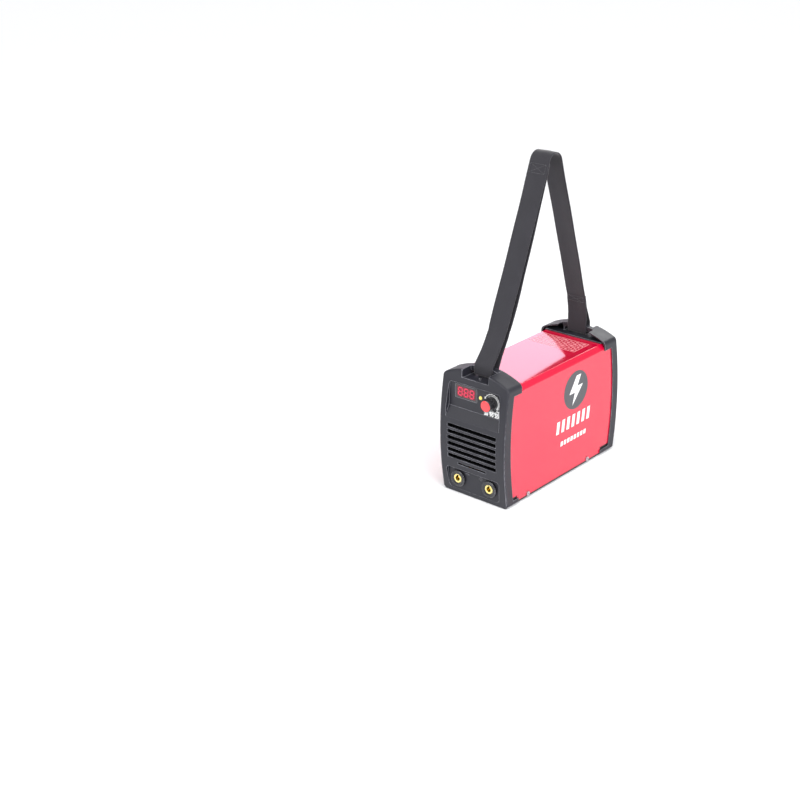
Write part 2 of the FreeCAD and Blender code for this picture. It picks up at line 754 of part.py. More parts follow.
def make_knob():
    """The current knob on its potentiometer. Heights run outwards from the panel's floor."""
    at = (D.dial_x, PANEL_Y, D.dial_z)
    shaft = D.shaft_radius
    base, top, length = D.knob_base, D.knob_top, D.knob_length
    knob = [
        (shaft, 4.6), (4.2, 4.6), (4.2, 3.4), (8, 3.4), (8, 0.8), (base, 0.8), (base, 4),
        (top, length - 1), (top - 0.9, length), (D.cap_radius, length),
        (D.cap_radius, length - 1.6), (shaft, length - 1.6),
    ]
    body = turned("knob_body", knob, at, "-y")
    groove = new_sketch(body, "XY_Plane", 6)
    draw_circle(groove, top + 1.1, 0, 1.15)
    first = extrude(body, "Pocket", groove, length - 6 + 1, reverse=True)
    pattern(body, "PolarPattern", first, "Z_Axis", 20, 360)
    keep(body, "knob_body")
    face = length - 1.6
    cap = [(0, face), (D.cap_radius - 0.05, face), (D.cap_radius - 0.05, length - 0.2),
           (D.cap_radius - 1.2, length + 0.7), (0, length + 1)]
    keep(turned("knob_cap", cap, at, "-y"), "knob_cap")
    stem = [(0, -7.5), (shaft, -7.5), (shaft, face), (0, face)]
    keep(turned("knob_shaft", stem, at, "-y"), "knob_shaft")
    wall = D.face_back - D.panel_floor
    pot = [
        (shaft + 0.06, 4), (shaft + 0.06, -8), (0, -8), (0, 0.1 - BOARD_GAP), (8.5, 0.1 - BOARD_GAP),
        (8.5, -wall), (3.5, -wall), (3.5, 4),
    ]
    keep(turned("potentiometer", pot, at, "-y"), "potentiometer")
    keep(hex_nut("potentiometer_nut", 10, 2, 3.55, at, "-y"), "potentiometer_nut")


# ---------------------------------------------------------------- fan

FAN_REAR = REAR_Y - D.face_back
FAN_FRONT = FAN_REAR - D.fan_depth


def make_air_filter():
    """A foam pad behind the front grille."""
    low = D.louvre_first - 8
    pad = box("filter_pad", (112, 3, 5 * D.louvre_pitch + D.louvre_height + 12),
              (-56, FRONT_Y + 0.6, low))
    keep(pad, "air_filter")


def make_fan():
    """An axial fan bolted behind the rear grille: frame with bearing hub, and impeller."""
    body = new_body("fan_frame", (0, FAN_FRONT, D.fan_z))
    half = D.fan_size / 2
    plan = new_sketch(body, "XZ_Plane")
    draw_rectangle(plan, -half, -half, half, half)
    draw_circle(plan, 0, 0, D.fan_bore)
    for side in (-1, 1):
        for rise in (-1, 1):
            draw_circle(plan, side * D.fan_pitch, rise * D.fan_pitch, D.screw_hole)
    extrude(body, "Pad", plan, D.fan_depth, reverse=True)
    spider = new_sketch(body, "XZ_Plane", -(D.fan_depth - 4))
    hub, reach, arm = DIMENSIONS["fan_hub"], DIMENSIONS["fan_bore"] + 0.5, 2
    meet = math.sqrt(hub ** 2 - arm ** 2)
    strut = [(arm, meet), (arm, reach), (-arm, reach), (-arm, meet)]
    corners, arcs = [], {}
    for turn in range(4):
        angle = math.radians(90 * turn)
        for x, z in strut:
            corners.append((x * math.cos(angle) - z * math.sin(angle),
                            x * math.sin(angle) + z * math.cos(angle)))
        middle = angle + math.radians(135)
        arcs[4 * turn + 3] = (hub, (hub * math.cos(middle), hub * math.sin(middle)))
    draw_outline(spider, corners, arcs)
    draw_circle(spider, 0, 0, 1.56)
    extrude(body, "Pad", spider, 4, reverse=True)
    keep(body, "fan_frame")

    rotor = new_body("fan_impeller", (0, FAN_FRONT, D.fan_z))
    hub_sketch = new_sketch(rotor, "XZ_Plane", -2)
    draw_circle(hub_sketch, 0, 0, D.fan_hub)
    extrude(rotor, "Pad", hub_sketch, D.fan_depth - 7, reverse=True)
    spindle = new_sketch(rotor, "XZ_Plane", -5)
    draw_circle(spindle, 0, 0, 1.5)
    extrude(rotor, "Pad", spindle, D.fan_depth - 6, reverse=True)
    blade = new_sketch(rotor, "YZ_Plane", D.fan_hub - 1.5)
    draw_outline(blade, [(3, -9), (4.8, -9), (19, 7.6), (17.2, 7.6)])
    first = extrude(rotor, "Pad", blade, D.fan_blade - D.fan_hub + 1.5)
    pattern(rotor, "PolarPattern", first, "Y_Axis", 7, 360)
    keep(rotor, "fan_impeller")

    screws = []
    for side in (-1, 1):
        for rise in (-1, 1):
            at = (side * D.fan_pitch, REAR_Y + 3, D.fan_z + rise * D.fan_pitch)
            screws.append(screw(f"fan_screw_{side}_{rise}", 3.8, 2.2, 2, 30, at, "+y"))
    keep(group("fan_screws", screws), "fan_screws")


# ---------------------------------------------------------------- rear fittings

def make_power_switch():
    """A rocker switch: the rocker swings on its own axle inside a round-bottomed well."""
    pivot = (0, REAR_Y, D.switch_z)
    flange = box("switch_flange", (31, 2, 26), (-15.5, REAR_Y, D.switch_z - 13))
    block = box("switch_block", (27, 26, 22), (-13.5, REAR_Y - 26, D.switch_z - 11))
    blades = [box(f"switch_blade_{x}_{z}", (6.3, 9, 0.8), (x - 3.15, REAR_Y - 35, D.switch_z + z))
              for x in (-7, 7) for z in (-5, 5)]
    wide = D.rocker_width / 2 + 0.3
    well = cylinder("switch_well", D.rocker_radius + 0.4, 2 * wide, (-wide, REAR_Y, D.switch_z), "+x")
    axle_hole = cylinder("switch_axle_hole", 1.56, 24, (-12, REAR_Y, D.switch_z), "+x")
    solid = fuse("switch_solid", [flange, block] + blades)
    keep(cut("power_switch_housing", solid, [well, axle_hole]), "power_switch_housing")

    rocker = new_body("power_rocker", pivot)
    radius = DIMENSIONS["rocker_radius"]
    lean = math.radians(18)
    tip = (radius * math.sin(lean), radius * math.cos(lean))
    sketch = new_sketch(rocker, "YZ_Plane")
    draw_outline(sketch, [(tip[0], -tip[1]), (4.4, 0), tip], {2: (D.rocker_radius, (-radius, 0))})
    extrude(rocker, "Pad", sketch, D.rocker_width, both=True)
    axle = new_sketch(rocker, "YZ_Plane")
    draw_circle(axle, 0, 0, 1.5)
    extrude(rocker, "Pad", axle, D.rocker_width + 3, both=True)
    off_turn = Rotation(Vector(1, 0, 0), -10)
    rocker.Placement = Placement(Vector(*[value_of(size) for size in pivot]), off_turn)
    keep(rocker, "power_rocker")


REAR_PANEL_Y = REAR_Y - D.sunk_floor
NUT_FACE = D.face_back - D.sunk_floor


def make_cable_gland():
    """The mains cable's gland: body, rubber seal, dome nut and locknut, empty."""
    at = (-D.rear_x, REAR_PANEL_Y, D.rear_z)
    thread, cable = D.gland_thread, D.cable_radius
    stem = [
        (cable + 0.5, -17), (thread, -17), (thread, 5), (thread - 0.2, 5), (thread - 0.2, 11.4),
        (8.4, 11.4), (8.4, 7), (cable + 0.5, 7),
    ]
    body = turned("gland_body", stem, at, "+y")
    collar = new_sketch(body, "XY_Plane")
    flats = 24 / math.sqrt(3)
    corners = [(flats * math.cos(math.radians(60 * k)), flats * math.sin(math.radians(60 * k)))
               for k in range(6)]
    draw_outline(collar, corners)
    draw_circle(collar, 0, 0, thread - 0.5)
    extrude(body, "Pad", collar, 5)
    keep(body, "gland_body")
    seal = [(cable, 7.1), (8.3, 7.1), (8.3, 13.2), (cable, 13.2)]
    keep(turned("gland_seal", seal, at, "+y"), "gland_seal")
    dome = [
        (thread, 5.2), (12.4, 5.2), (12.4, 12), (11.2, 14.6), (8.8, 16), (6.2, 16),
        (6.2, 13.4), (thread, 13.4),
    ]
    nut = turned("gland_dome_nut", dome, at, "+y")
    rib = new_sketch(nut, "XY_Plane", 5.2)
    draw_circle(rib, 12.9, 0, 0.9)
    first = extrude(nut, "Pocket", rib, 7, reverse=True)
    pattern(nut, "PolarPattern", first, "Z_Axis", 18, 360)
    keep(nut, "gland_dome_nut")
    inside = (-D.rear_x, REAR_PANEL_Y - NUT_FACE, D.rear_z)
    keep(hex_nut("gland_locknut", 26, 5, thread + 0.05, inside, "-y"), "gland_locknut")


def make_earth_stud():
    """The earthing bolt, put in from inside, with its washer and nut."""
    x, z = D.rear_x, D.rear_z
    flats, washer_thick, nut_tall = 13, 1.6, 6.5
    inside = REAR_PANEL_Y - NUT_FACE
    past_nut = NUT_FACE + washer_thick + nut_tall + 0.2
    head = hexagon("earth_head", flats, 5.3, (x, inside, z), "-y")
    shank = cylinder("earth_shank", D.earth_radius - 0.2, past_nut + 0.2, (x, inside, z), "+y")
    terminal = cylinder("earth_terminal", D.earth_radius, 7.8, (x, inside + past_nut, z), "+y")
    keep(fuse("earth_stud", [head, shank, terminal]), "earth_stud")
    washer = tube("earth_washer", 8, D.earth_radius + 0.2, washer_thick, (x, REAR_PANEL_Y, z), "+y")
    keep(washer, "earth_washer")
    nut_at = (x, REAR_PANEL_Y + washer_thick, z)
    keep(hex_nut("earth_nut", flats, nut_tall, D.earth_radius + 0.05, nut_at, "+y"), "earth_nut")


# ---------------------------------------------------------------- power electronics

TRAY_TOP = D.floor_gap + D.steel
BOARD_TOP = D.board_z + D.board_thick


def make_main_board():
    length = D.board_rear - D.board_front
    board = box("board_blank", (2 * D.board_half, length, D.board_thick),
                (-D.board_half, D.board_front, D.board_z))
    holes = [cylinder(f"board_hole_{number}", D.screw_hole, 4, (x, y, D.board_z - 1))
             for number, (x, y) in enumerate(BOARD_POSTS)]
    keep(cut("main_board", board, holes), "main_board")
    posts = [hexagon(f"board_post_{number}", 8, D.board_z - TRAY_TOP, (x, y, TRAY_TOP))
             for number, (x, y) in enumerate(BOARD_POSTS)]
    keep(group("board_posts", posts), "board_posts")
    screws = [cylinder(f"board_screw_{number}", 3.6, 2.4, (x, y, BOARD_TOP))
              for number, (x, y) in enumerate(BOARD_POSTS)]
    keep(group("board_screws", screws), "board_screws")


def make_heatsink(sign, label):
    """A finned extrusion: the power parts sit on its inner face, the fins point outwards."""
    body = new_body(label, (0, D.sink_front, D.sink_foot))
    sketch = new_sketch(body, "XZ_Plane")
    count = DIMENSIONS["fins"]
    spine, fin = 8, 2.4
    pitch = (D.sink_tall - fin) / (count - 1)
    corners = [(sign * D.sink_in, 0), (sign * D.sink_out, 0)]
    for index in range(count):
        low = pitch * index
        if index:
            corners += [(sign * (D.sink_in + spine), low), (sign * D.sink_out, low)]
        corners.append((sign * D.sink_out, low + fin))
        if index < count - 1:
            corners.append((sign * (D.sink_in + spine), low + fin))
    corners.append((sign * D.sink_in, D.sink_tall))
    draw_outline(sketch, corners)
    extrude(body, "Pad", sketch, D.sink_rear - D.sink_front, reverse=True)
    return keep(body, label)


def make_power_devices(sign, label, across):
    """A row of flat power packages against a heatsink, their legs up to the board."""
    items = []
    x = sign * (D.sink_in - 2.6)
    for number in range(4):
        y = -25 + 36 * number
        case = box(f"{label}_{number}", (5, 16, 21), (x - 2.5, y, 70))
        legs = [box(f"{label}_leg_{number}_{step}", (0.8, 1.4, D.board_z - 90.5),
                    (x - 0.4, y + 7.3 + step * across, 90.5)) for step in (-1, 0, 1)]
        items.append(fuse(f"{label}_piece_{number}", [case] + legs))
    return keep(group(label, items), label)


def make_heatsinks():
    make_heatsink(-1, "heatsink_left")
    make_heatsink(1, "heatsink_right")
    make_power_devices(-1, "power_transistors", 5.4)
    make_power_devices(1, "output_diodes", 4.6)
    posts = [cylinder(f"sink_post_{number}", 6, D.sink_foot - TRAY_TOP, (x, y, TRAY_TOP))
             for number, (x, y) in enumerate(SINK_POSTS)]
    keep(group("heatsink_posts", posts), "heatsink_posts")


def make_board_parts():
    """What stands on the main board."""
    cans = []
    for number, y in enumerate((-30, 6, 42)):
        can = cylinder(f"can_{number}", 15, 45, (-38, y, BOARD_TOP))
        ring = tube(f"can_groove_{number}", 16, 14.3, 1.4, (-38, y, BOARD_TOP + 5))
        cans.append(cut(f"capacitor_{number}", can, [ring]))
    keep(group("bulk_capacitors", cans), "bulk_capacitors")
    bridge = box("bridge_block", (28, 28, 10), (-52, 68, BOARD_TOP))
    eye = cylinder("bridge_eye", 2.6, 12, (-38, 82, BOARD_TOP - 1))
    keep(cut("bridge_rectifier", bridge, [eye]), "bridge_rectifier")
    keep(box("start_relay", (16, 30, 26), (-8, 60, BOARD_TOP)), "start_relay")
    keep(box("start_resistor", (10, 46, 9), (14, 58, BOARD_TOP)), "start_resistor")
    core = box("aux_core", (26, 9, 24), (-14, -8, BOARD_TOP))
    coil = box("aux_coil", (15, 22, 15), (-8.5, -14.5, BOARD_TOP + 4.5))
    keep(fuse("auxiliary_transformer", [core, coil]), "auxiliary_transformer")
    keep(box("control_board", (1.6, 96, 52), (36, -44, BOARD_TOP)), "control_board")
    chips = []
    seats = ((-36, 14, 18, 10), (-8, 22, 12, 12), (20, 10, 10, 20))
    for number, (y, z, wide, tall) in enumerate(seats):
        chips.append(box(f"chip_{number}", (3, wide, tall), (33, y, BOARD_TOP + z)))
    keep(group("control_chips", chips), "control_chips")


def make_transformer():
    """The main transformer: a pair of ferrite E cores about one winding."""
    x, y, z = -57, -108, TRAY_TOP
    wide, deep, tall = 52, 28, 60
    yoke = 11
    block = box("core_block", (wide, deep, tall), (x, y + 11, z))
    windows = [box(f"core_window_{offset}", (9, deep + 2, tall - 2 * yoke),
                   (x + offset, y + 10, z + yoke)) for offset in (9, 34)]
    keep(cut("transformer_core", block, windows), "transformer_core")
    limb_low, limb_high = x + 18, x + 34
    outer = box("coil_outer", (limb_high - limb_low + 16.4, deep + 20, tall - 2 * yoke - 1),
                (limb_low - 8.2, y + 1, z + yoke + 0.5))
    limb = box("coil_limb", (limb_high - limb_low + 0.6, deep + 0.6, tall),
               (limb_low - 0.3, y + 10.7, z))
    keep(cut("transformer_winding", outer, [limb]), "transformer_winding")


def make_choke():
    """The output choke: a ring core with separate copper turns."""
    x, y, z = 28, -78, TRAY_TOP + 4
    inner, outer, tall = 15, 26, 20
    keep(tube("choke_core", outer, inner, tall, (x, y, z)), "choke_core")
    wire = 2.2
    ring_low = inner - 0.3 - wire
    ring_high = outer + 0.3 + wire
    full = box("turn_full", (ring_high - ring_low, 2.4, tall + 0.6 + 2 * wire),
               (ring_low, -1.2, -0.3 - wire))
    gap = box("turn_gap", (outer - inner + 0.6, 4, tall + 0.6), (inner - 0.3, -2, -0.3))
    loop = cut("turn", full, [gap])
    turns = []
    count = 14
    for number in range(count):
        turn = DOC.addObject("Part::Feature", f"choke_turn_{number}")
        DOC.recompute()
        turn.Shape = loop.Shape.copy()
        turn.Placement = Placement(Vector(x, y, value_of(z)),
                                   Rotation(Vector(0, 0, 1), 360 * number / count))
        turns.append(turn)
    keep(group("choke_winding", turns), "choke_winding")


# ---------------------------------------------------------------- shoulder strap

def ribbon_outline(route, radii, thick):
    """The closed edge of a ribbon: straight runs joined by tangent arcs, seen from the side."""
    points = [Vector(0, y, z) for y, z in route]
    runs = [(second - first).normalize() for first, second in zip(points, points[1:])]
    sides = []
    for hand in (1, -1):
        shift = hand * thick / 2
        edges = []
        start = points[0] + across(runs[0]) * shift
        for index, radius in enumerate(radii, start=1):
            before, after = runs[index - 1], runs[index]
            half_turn = before.getAngle(after) / 2
            trim = radius * math.tan(half_turn)
            inner = (after - before).normalize()
            centre = points[index] + inner * (radius / math.cos(half_turn))
            rim = radius - shift * math.copysign(1, across(before).dot(inner))
            enter = points[index] - before * trim + across(before) * shift
            leave = points[index] + after * trim + across(after) * shift
            edges.append(Part.LineSegment(start, enter).toShape())
            edges.append(Part.Arc(enter, centre - inner * rim, leave).toShape())
            start = leave
        stop = points[-1] + across(runs[-1]) * shift
        edges.append(Part.LineSegment(start, stop).toShape())
        sides.append(edges)
    first, second = sides
    ends = [
        Part.LineSegment(first[0].Vertexes[0].Point, second[0].Vertexes[0].Point).toShape(),
        Part.LineSegment(first[-1].Vertexes[-1].Point, second[-1].Vertexes[-1].Point).toShape(),
    ]
    return Part.Wire(Part.__sortEdges__(first + second + ends))


def across(direction):
    return Vector(0, -direction.z, direction.y)


def ribbon(route, radii):
    """A ribbon of webbing as wide as the strap, centred on the case."""
    wide, thick = DIMENSIONS["strap_width"], DIMENSIONS["strap_thick"]
    face = Part.Face(ribbon_outline(route, radii, thick))
    face.translate(Vector(-wide / 2, 0, 0))
    return face.extrude(Vector(wide, 0, 0))


def make_strap():
    """Webbing from the front bar over the carrying point to the rear bar, looped at each end."""
    under = 210.9
    carried = [
        (-114.2, under), (-129.9, under), (-129.9, 227), (-113, 247.5), (-96, 274), (-67.2, 339),
        (-20.4, 454), (31.3, 580), (76, 433), (123, 280), (127.6, 250), (127.6, under),
        (138.9, under),
    ]
    carried_radii = [1.5, 12, 60, 90, 300, 700, 18, 900, 60, 80, 1.5]
    front_back = [(-114.2, under), (-114.2, 222), (-104, 242), (-90, 264), (-60, 330),
                  (-18.6, 440), (4.5, 500), (11.8, 526)]
    front_radii = [14, 60, 120, 400, 600, 120]
    rear_back = [(138.9, under), (138.9, 230), (124.4, 276)]
    rear_radii = [14]
    pieces = [ribbon(carried, carried_radii), ribbon(front_back, front_radii),
              ribbon(rear_back, rear_radii)]
    wide, thick = DIMENSIONS["strap_width"], DIMENSIONS["strap_thick"]
    for y in (front_back[0][0], rear_back[0][0]):
        corner = Part.makeCylinder(thick / 2, wide, Vector(-wide / 2, y, under), Vector(1, 0, 0))
        pieces.append(corner)
    strap = DOC.addObject("Part::Feature", "shoulder_strap")
    strap.Shape = pieces[0].fuse(pieces[1:]).removeSplitter()
    strap.Placement = Placement()
    keep(strap, "shoulder_strap")


# ---------------------------------------------------------------- build

def check_model():
    """Stop before anything is written if a feature failed or a sub-part isn't a sound solid."""
    DOC.recompute()
    for item in DOC.Objects:
        if "Invalid" in item.State or "Error" in item.State:
            raise RuntimeError(f"{item.Name} failed: {item.State}")
    for item in SUBPARTS:
        shape = item.Shape
        if shape.isNull() or not shape.isValid() or not shape.Solids:
            raise RuntimeError(f"{item.Label} has no sound solid")


def main():
    fill_sheet()
    make_front_bezel()
    make_rear_bezel()
    make_cover()
    make_base_tray()
    make_case_screws()
    make_sockets()
    make_display()
    make_knob()
    make_air_filter()
    make_fan()
    make_power_switch()
    make_cable_gland()
    make_earth_stud()
    make_main_board()
    make_heatsinks()
    make_board_parts()
    make_transformer()
    make_choke()
    make_strap()
    check_model()
    os.makedirs("parts", exist_ok=True)
    for item in SUBPARTS:
        item.Shape.exportStep(f"parts/{item.Label}.step")
    print(len(SUBPARTS), "nodes")


main()
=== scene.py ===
import json
import math

import bpy
from mathutils import Matrix, Vector


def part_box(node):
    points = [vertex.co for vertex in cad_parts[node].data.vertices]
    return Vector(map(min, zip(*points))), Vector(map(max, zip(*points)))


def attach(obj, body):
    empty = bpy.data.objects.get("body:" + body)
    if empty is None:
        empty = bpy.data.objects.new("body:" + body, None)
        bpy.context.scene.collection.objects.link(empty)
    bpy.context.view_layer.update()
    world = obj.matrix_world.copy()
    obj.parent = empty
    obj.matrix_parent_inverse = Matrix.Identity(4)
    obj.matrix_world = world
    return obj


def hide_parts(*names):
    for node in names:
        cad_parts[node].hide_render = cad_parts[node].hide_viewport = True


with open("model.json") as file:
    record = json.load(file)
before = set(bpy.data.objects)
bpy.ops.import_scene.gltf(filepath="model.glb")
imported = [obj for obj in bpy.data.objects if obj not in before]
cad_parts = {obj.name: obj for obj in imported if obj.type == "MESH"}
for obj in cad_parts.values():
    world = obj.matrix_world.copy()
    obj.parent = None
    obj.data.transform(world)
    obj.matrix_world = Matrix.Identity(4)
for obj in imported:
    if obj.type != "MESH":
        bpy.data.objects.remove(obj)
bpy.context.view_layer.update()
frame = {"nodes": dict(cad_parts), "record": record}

NODES = frame["nodes"]


# ---------------------------------------------------------------- camera

def make_camera():
    """The main view: from the right of the front and above."""
    azimuth, elevation, roll = math.radians(42.17), math.radians(23.27), math.radians(-1.35)
    back = Vector((math.sin(azimuth) * math.cos(elevation),
                   -math.cos(azimuth) * math.cos(elevation), math.sin(elevation)))
    level = (-back).cross(Vector((0, 0, 1))).normalized()
    upright = level.cross(-back)
    right = level * math.cos(roll) + upright * math.sin(roll)
    upward = -level * math.sin(roll) + upright * math.cos(roll)
    data = bpy.data.cameras.new("camera")
    data.sensor_width = 36
    data.lens = 63.92
    camera = bpy.data.objects.new("camera", data)
    turn = Matrix((right, upward, back)).transposed().to_4x4()
    turn.translation = Vector((1.3092, -1.7749, 1.0751))
    camera.matrix_world = turn
    bpy.context.scene.collection.objects.link(camera)
    bpy.context.scene.camera = camera


# ---------------------------------------------------------------- materials

class Graph:
    """A material's node tree, with short calls for the nodes that the recipes use."""

    def __init__(self, name):
        self.material = bpy.data.materials.new(name)
        self.material.use_nodes = True
        self.tree = self.material.node_tree
        self.shader = self.tree.nodes["Principled BSDF"]
        coords = self.node("ShaderNodeTexCoord")
        self.place = coords.outputs["Object"]
        self.uv = coords.outputs["UV"]

    def node(self, kind, inputs=None, **settings):
        made = self.tree.nodes.new(kind)
        for key, value in settings.items():
            setattr(made, key, value)
        for key, value in (inputs or {}).items():
            if isinstance(value, bpy.types.NodeSocket):
                self.tree.links.new(value, made.inputs[key])
            else:
                made.inputs[key].default_value = value
        return made

    def noise(self, vector, scale, detail=3.0):
        inputs = {"Vector": vector, "Scale": scale, "Detail": detail}
        return self.node("ShaderNodeTexNoise", inputs).outputs["Fac"]

    def stretched(self, vector, scale):
        return self.node("ShaderNodeMapping", {"Vector": vector, "Scale": scale}).outputs["Vector"]

    def span(self, value, low, high, from_low=0.3, from_high=0.7):
        inputs = {"Value": value, "From Min": from_low, "From Max": from_high,
                  "To Min": low, "To Max": high}
        return self.node("ShaderNodeMapRange", inputs).outputs["Result"]

    def blend(self, share, first, second):
        mix = self.node("ShaderNodeMix", data_type="RGBA")
        for socket, value in ((mix.inputs[0], share), (mix.inputs[6], first), (mix.inputs[7], second)):
            if isinstance(value, bpy.types.NodeSocket):
                self.tree.links.new(value, socket)
            else:
                socket.default_value = value
        return mix.outputs[2]

    def maths(self, operation, first, second=0.0):
        return self.node("ShaderNodeMath", {0: first, 1: second}, operation=operation).outputs[0]

    def bevelled(self, radius):
        return self.node("ShaderNodeBevel", {"Radius": radius}, samples=6).outputs["Normal"]

    def bump(self, height, distance, normal, strength=1.0):
        inputs = {"Height": height, "Distance": distance, "Strength": strength, "Normal": normal}
        return self.node("ShaderNodeBump", inputs).outputs["Normal"]

    def feed(self, **sockets):
        for key, value in sockets.items():
            socket = self.shader.inputs[key.replace("_", " ")]
            if isinstance(value, bpy.types.NodeSocket):
                self.tree.links.new(value, socket)
            else:
                socket.default_value = value


def shade(colour, factor):
    return tuple(min(1.0, channel * factor) for channel in colour) + (1.0,)


def surface(name, colour, roughness, grain=1400.0, relief=0.00002, mottle=0.12, patch=45.0,
            stretch=(1, 1, 1), bevel=0.0005, edge_wear_and_highlight=None, constants=None):
    """A hard surface: mottled colour, uneven gloss, fine relief and softened edges, with a lighter
    colour along the rounded edges that is wear and painted highlight.
    """
    graph = Graph(name)
    fine = graph.noise(graph.stretched(graph.place, stretch), grain)
    broad = graph.noise(graph.place, patch)
    spread = graph.maths("ADD", graph.maths("MULTIPLY", fine, 0.5),
                         graph.maths("MULTIPLY", broad, 0.5))
    tint = graph.blend(graph.span(spread, 0.0, 1.0), shade(colour, 1 - mottle),
                       shade(colour, 1 + mottle))
    rounded = graph.bevelled(bevel)
    # wear and painted highlight: where the rounded normal leaves the flat one, at convex and concave
    # edges alike, the colour turns to the lighter edge colour
    if edge_wear_and_highlight:
        full_edge_tint, no_edge_tint = 0.88, 0.99      # how well the rounded normal agrees with the flat one
        true_normal = graph.node("ShaderNodeNewGeometry").outputs["True Normal"]
        facing = graph.node("ShaderNodeVectorMath", {0: rounded, 1: true_normal},
                            operation="DOT_PRODUCT").outputs["Value"]
        edge_wear_and_highlight_mask = graph.maths("MULTIPLY", graph.span(facing, 1.0, 0.0, full_edge_tint, no_edge_tint),
                              graph.span(broad, 0.25, 0.9))
        tint = graph.blend(edge_wear_and_highlight_mask, tint, shade(edge_wear_and_highlight, 1))
    graph.feed(
        Base_Color=tint,
        Roughness=graph.span(broad, roughness * 0.85, roughness * 1.15),
        Normal=graph.bump(fine, relief, rounded),
        **(constants or {}),
    )
    return graph.material


def metal(name, colour, roughness, **options):
    options.setdefault("mottle", 0.06)
    return surface(name, colour, roughness, constants={"Metallic": 1.0}, **options)


def webbing(name, colour):
    """Woven polyester: warp ribs stepped over the weft, set out along the strap's own UVs."""
    rib_pitch, pick_pitch = 0.00115, 0.0017
    graph = Graph(name)
    split = graph.node("ShaderNodeSeparateXYZ", {"Vector": graph.uv})
    rib = graph.maths("SINE", graph.maths("MULTIPLY", split.outputs["X"], math.pi / rib_pitch))
    pick = graph.maths("SINE", graph.maths("MULTIPLY", split.outputs["Y"], math.pi / pick_pitch))
    weave = graph.maths("ADD", graph.maths("MULTIPLY", graph.maths("MULTIPLY", rib, pick), 0.5), 0.5)
    lint = graph.noise(graph.place, 2600.0)
    broad = graph.noise(graph.place, 28.0)
    height = graph.maths("ADD", weave, graph.maths("MULTIPLY", lint, 0.35))
    # painted shade and highlight: the weave's dips are coloured darker and its ribs lighter
    tint = graph.blend(graph.span(height, 0.0, 1.0, 0.1, 1.1), shade(colour, 0.62), shade(colour, 1.35))
    tint = graph.blend(graph.span(broad, 0.0, 0.3), tint, shade(colour, 1.9))
    graph.feed(
        Base_Color=tint,
        Roughness=graph.span(height, 0.85, 0.62, 0.1, 1.1),
        Normal=graph.bump(height, 0.00022, graph.bevelled(0.0003)),
        Sheen_Weight=0.45,
        Sheen_Roughness=0.4,
        Specular_IOR_Level=0.35,
    )
    return graph.material


def lit(name, colour, glow, roughness=0.3):
    """A lit segment or lamp: a mottled colour that gives off a little of its own light."""
    graph = Graph(name)
    broad = graph.noise(graph.place, 350.0)
    tint = graph.blend(graph.span(broad, 0.0, 1.0), shade(colour, 0.8), shade(colour, 1.15))
    graph.feed(
        Base_Color=tint,
        Emission_Color=tint,
        Roughness=graph.span(broad, roughness * 0.8, roughness * 1.2),
        Emission_Strength=glow,
        Coat_Weight=0.15,
        Coat_Roughness=0.08,
    )
    return graph.material


GLOSSY = {"Coat_Weight": 0.55, "Coat_Roughness": 0.06}
POWDER = {"Coat_Weight": 0.5, "Coat_Roughness": 0.02, "Specular_IOR_Level": 0.5}

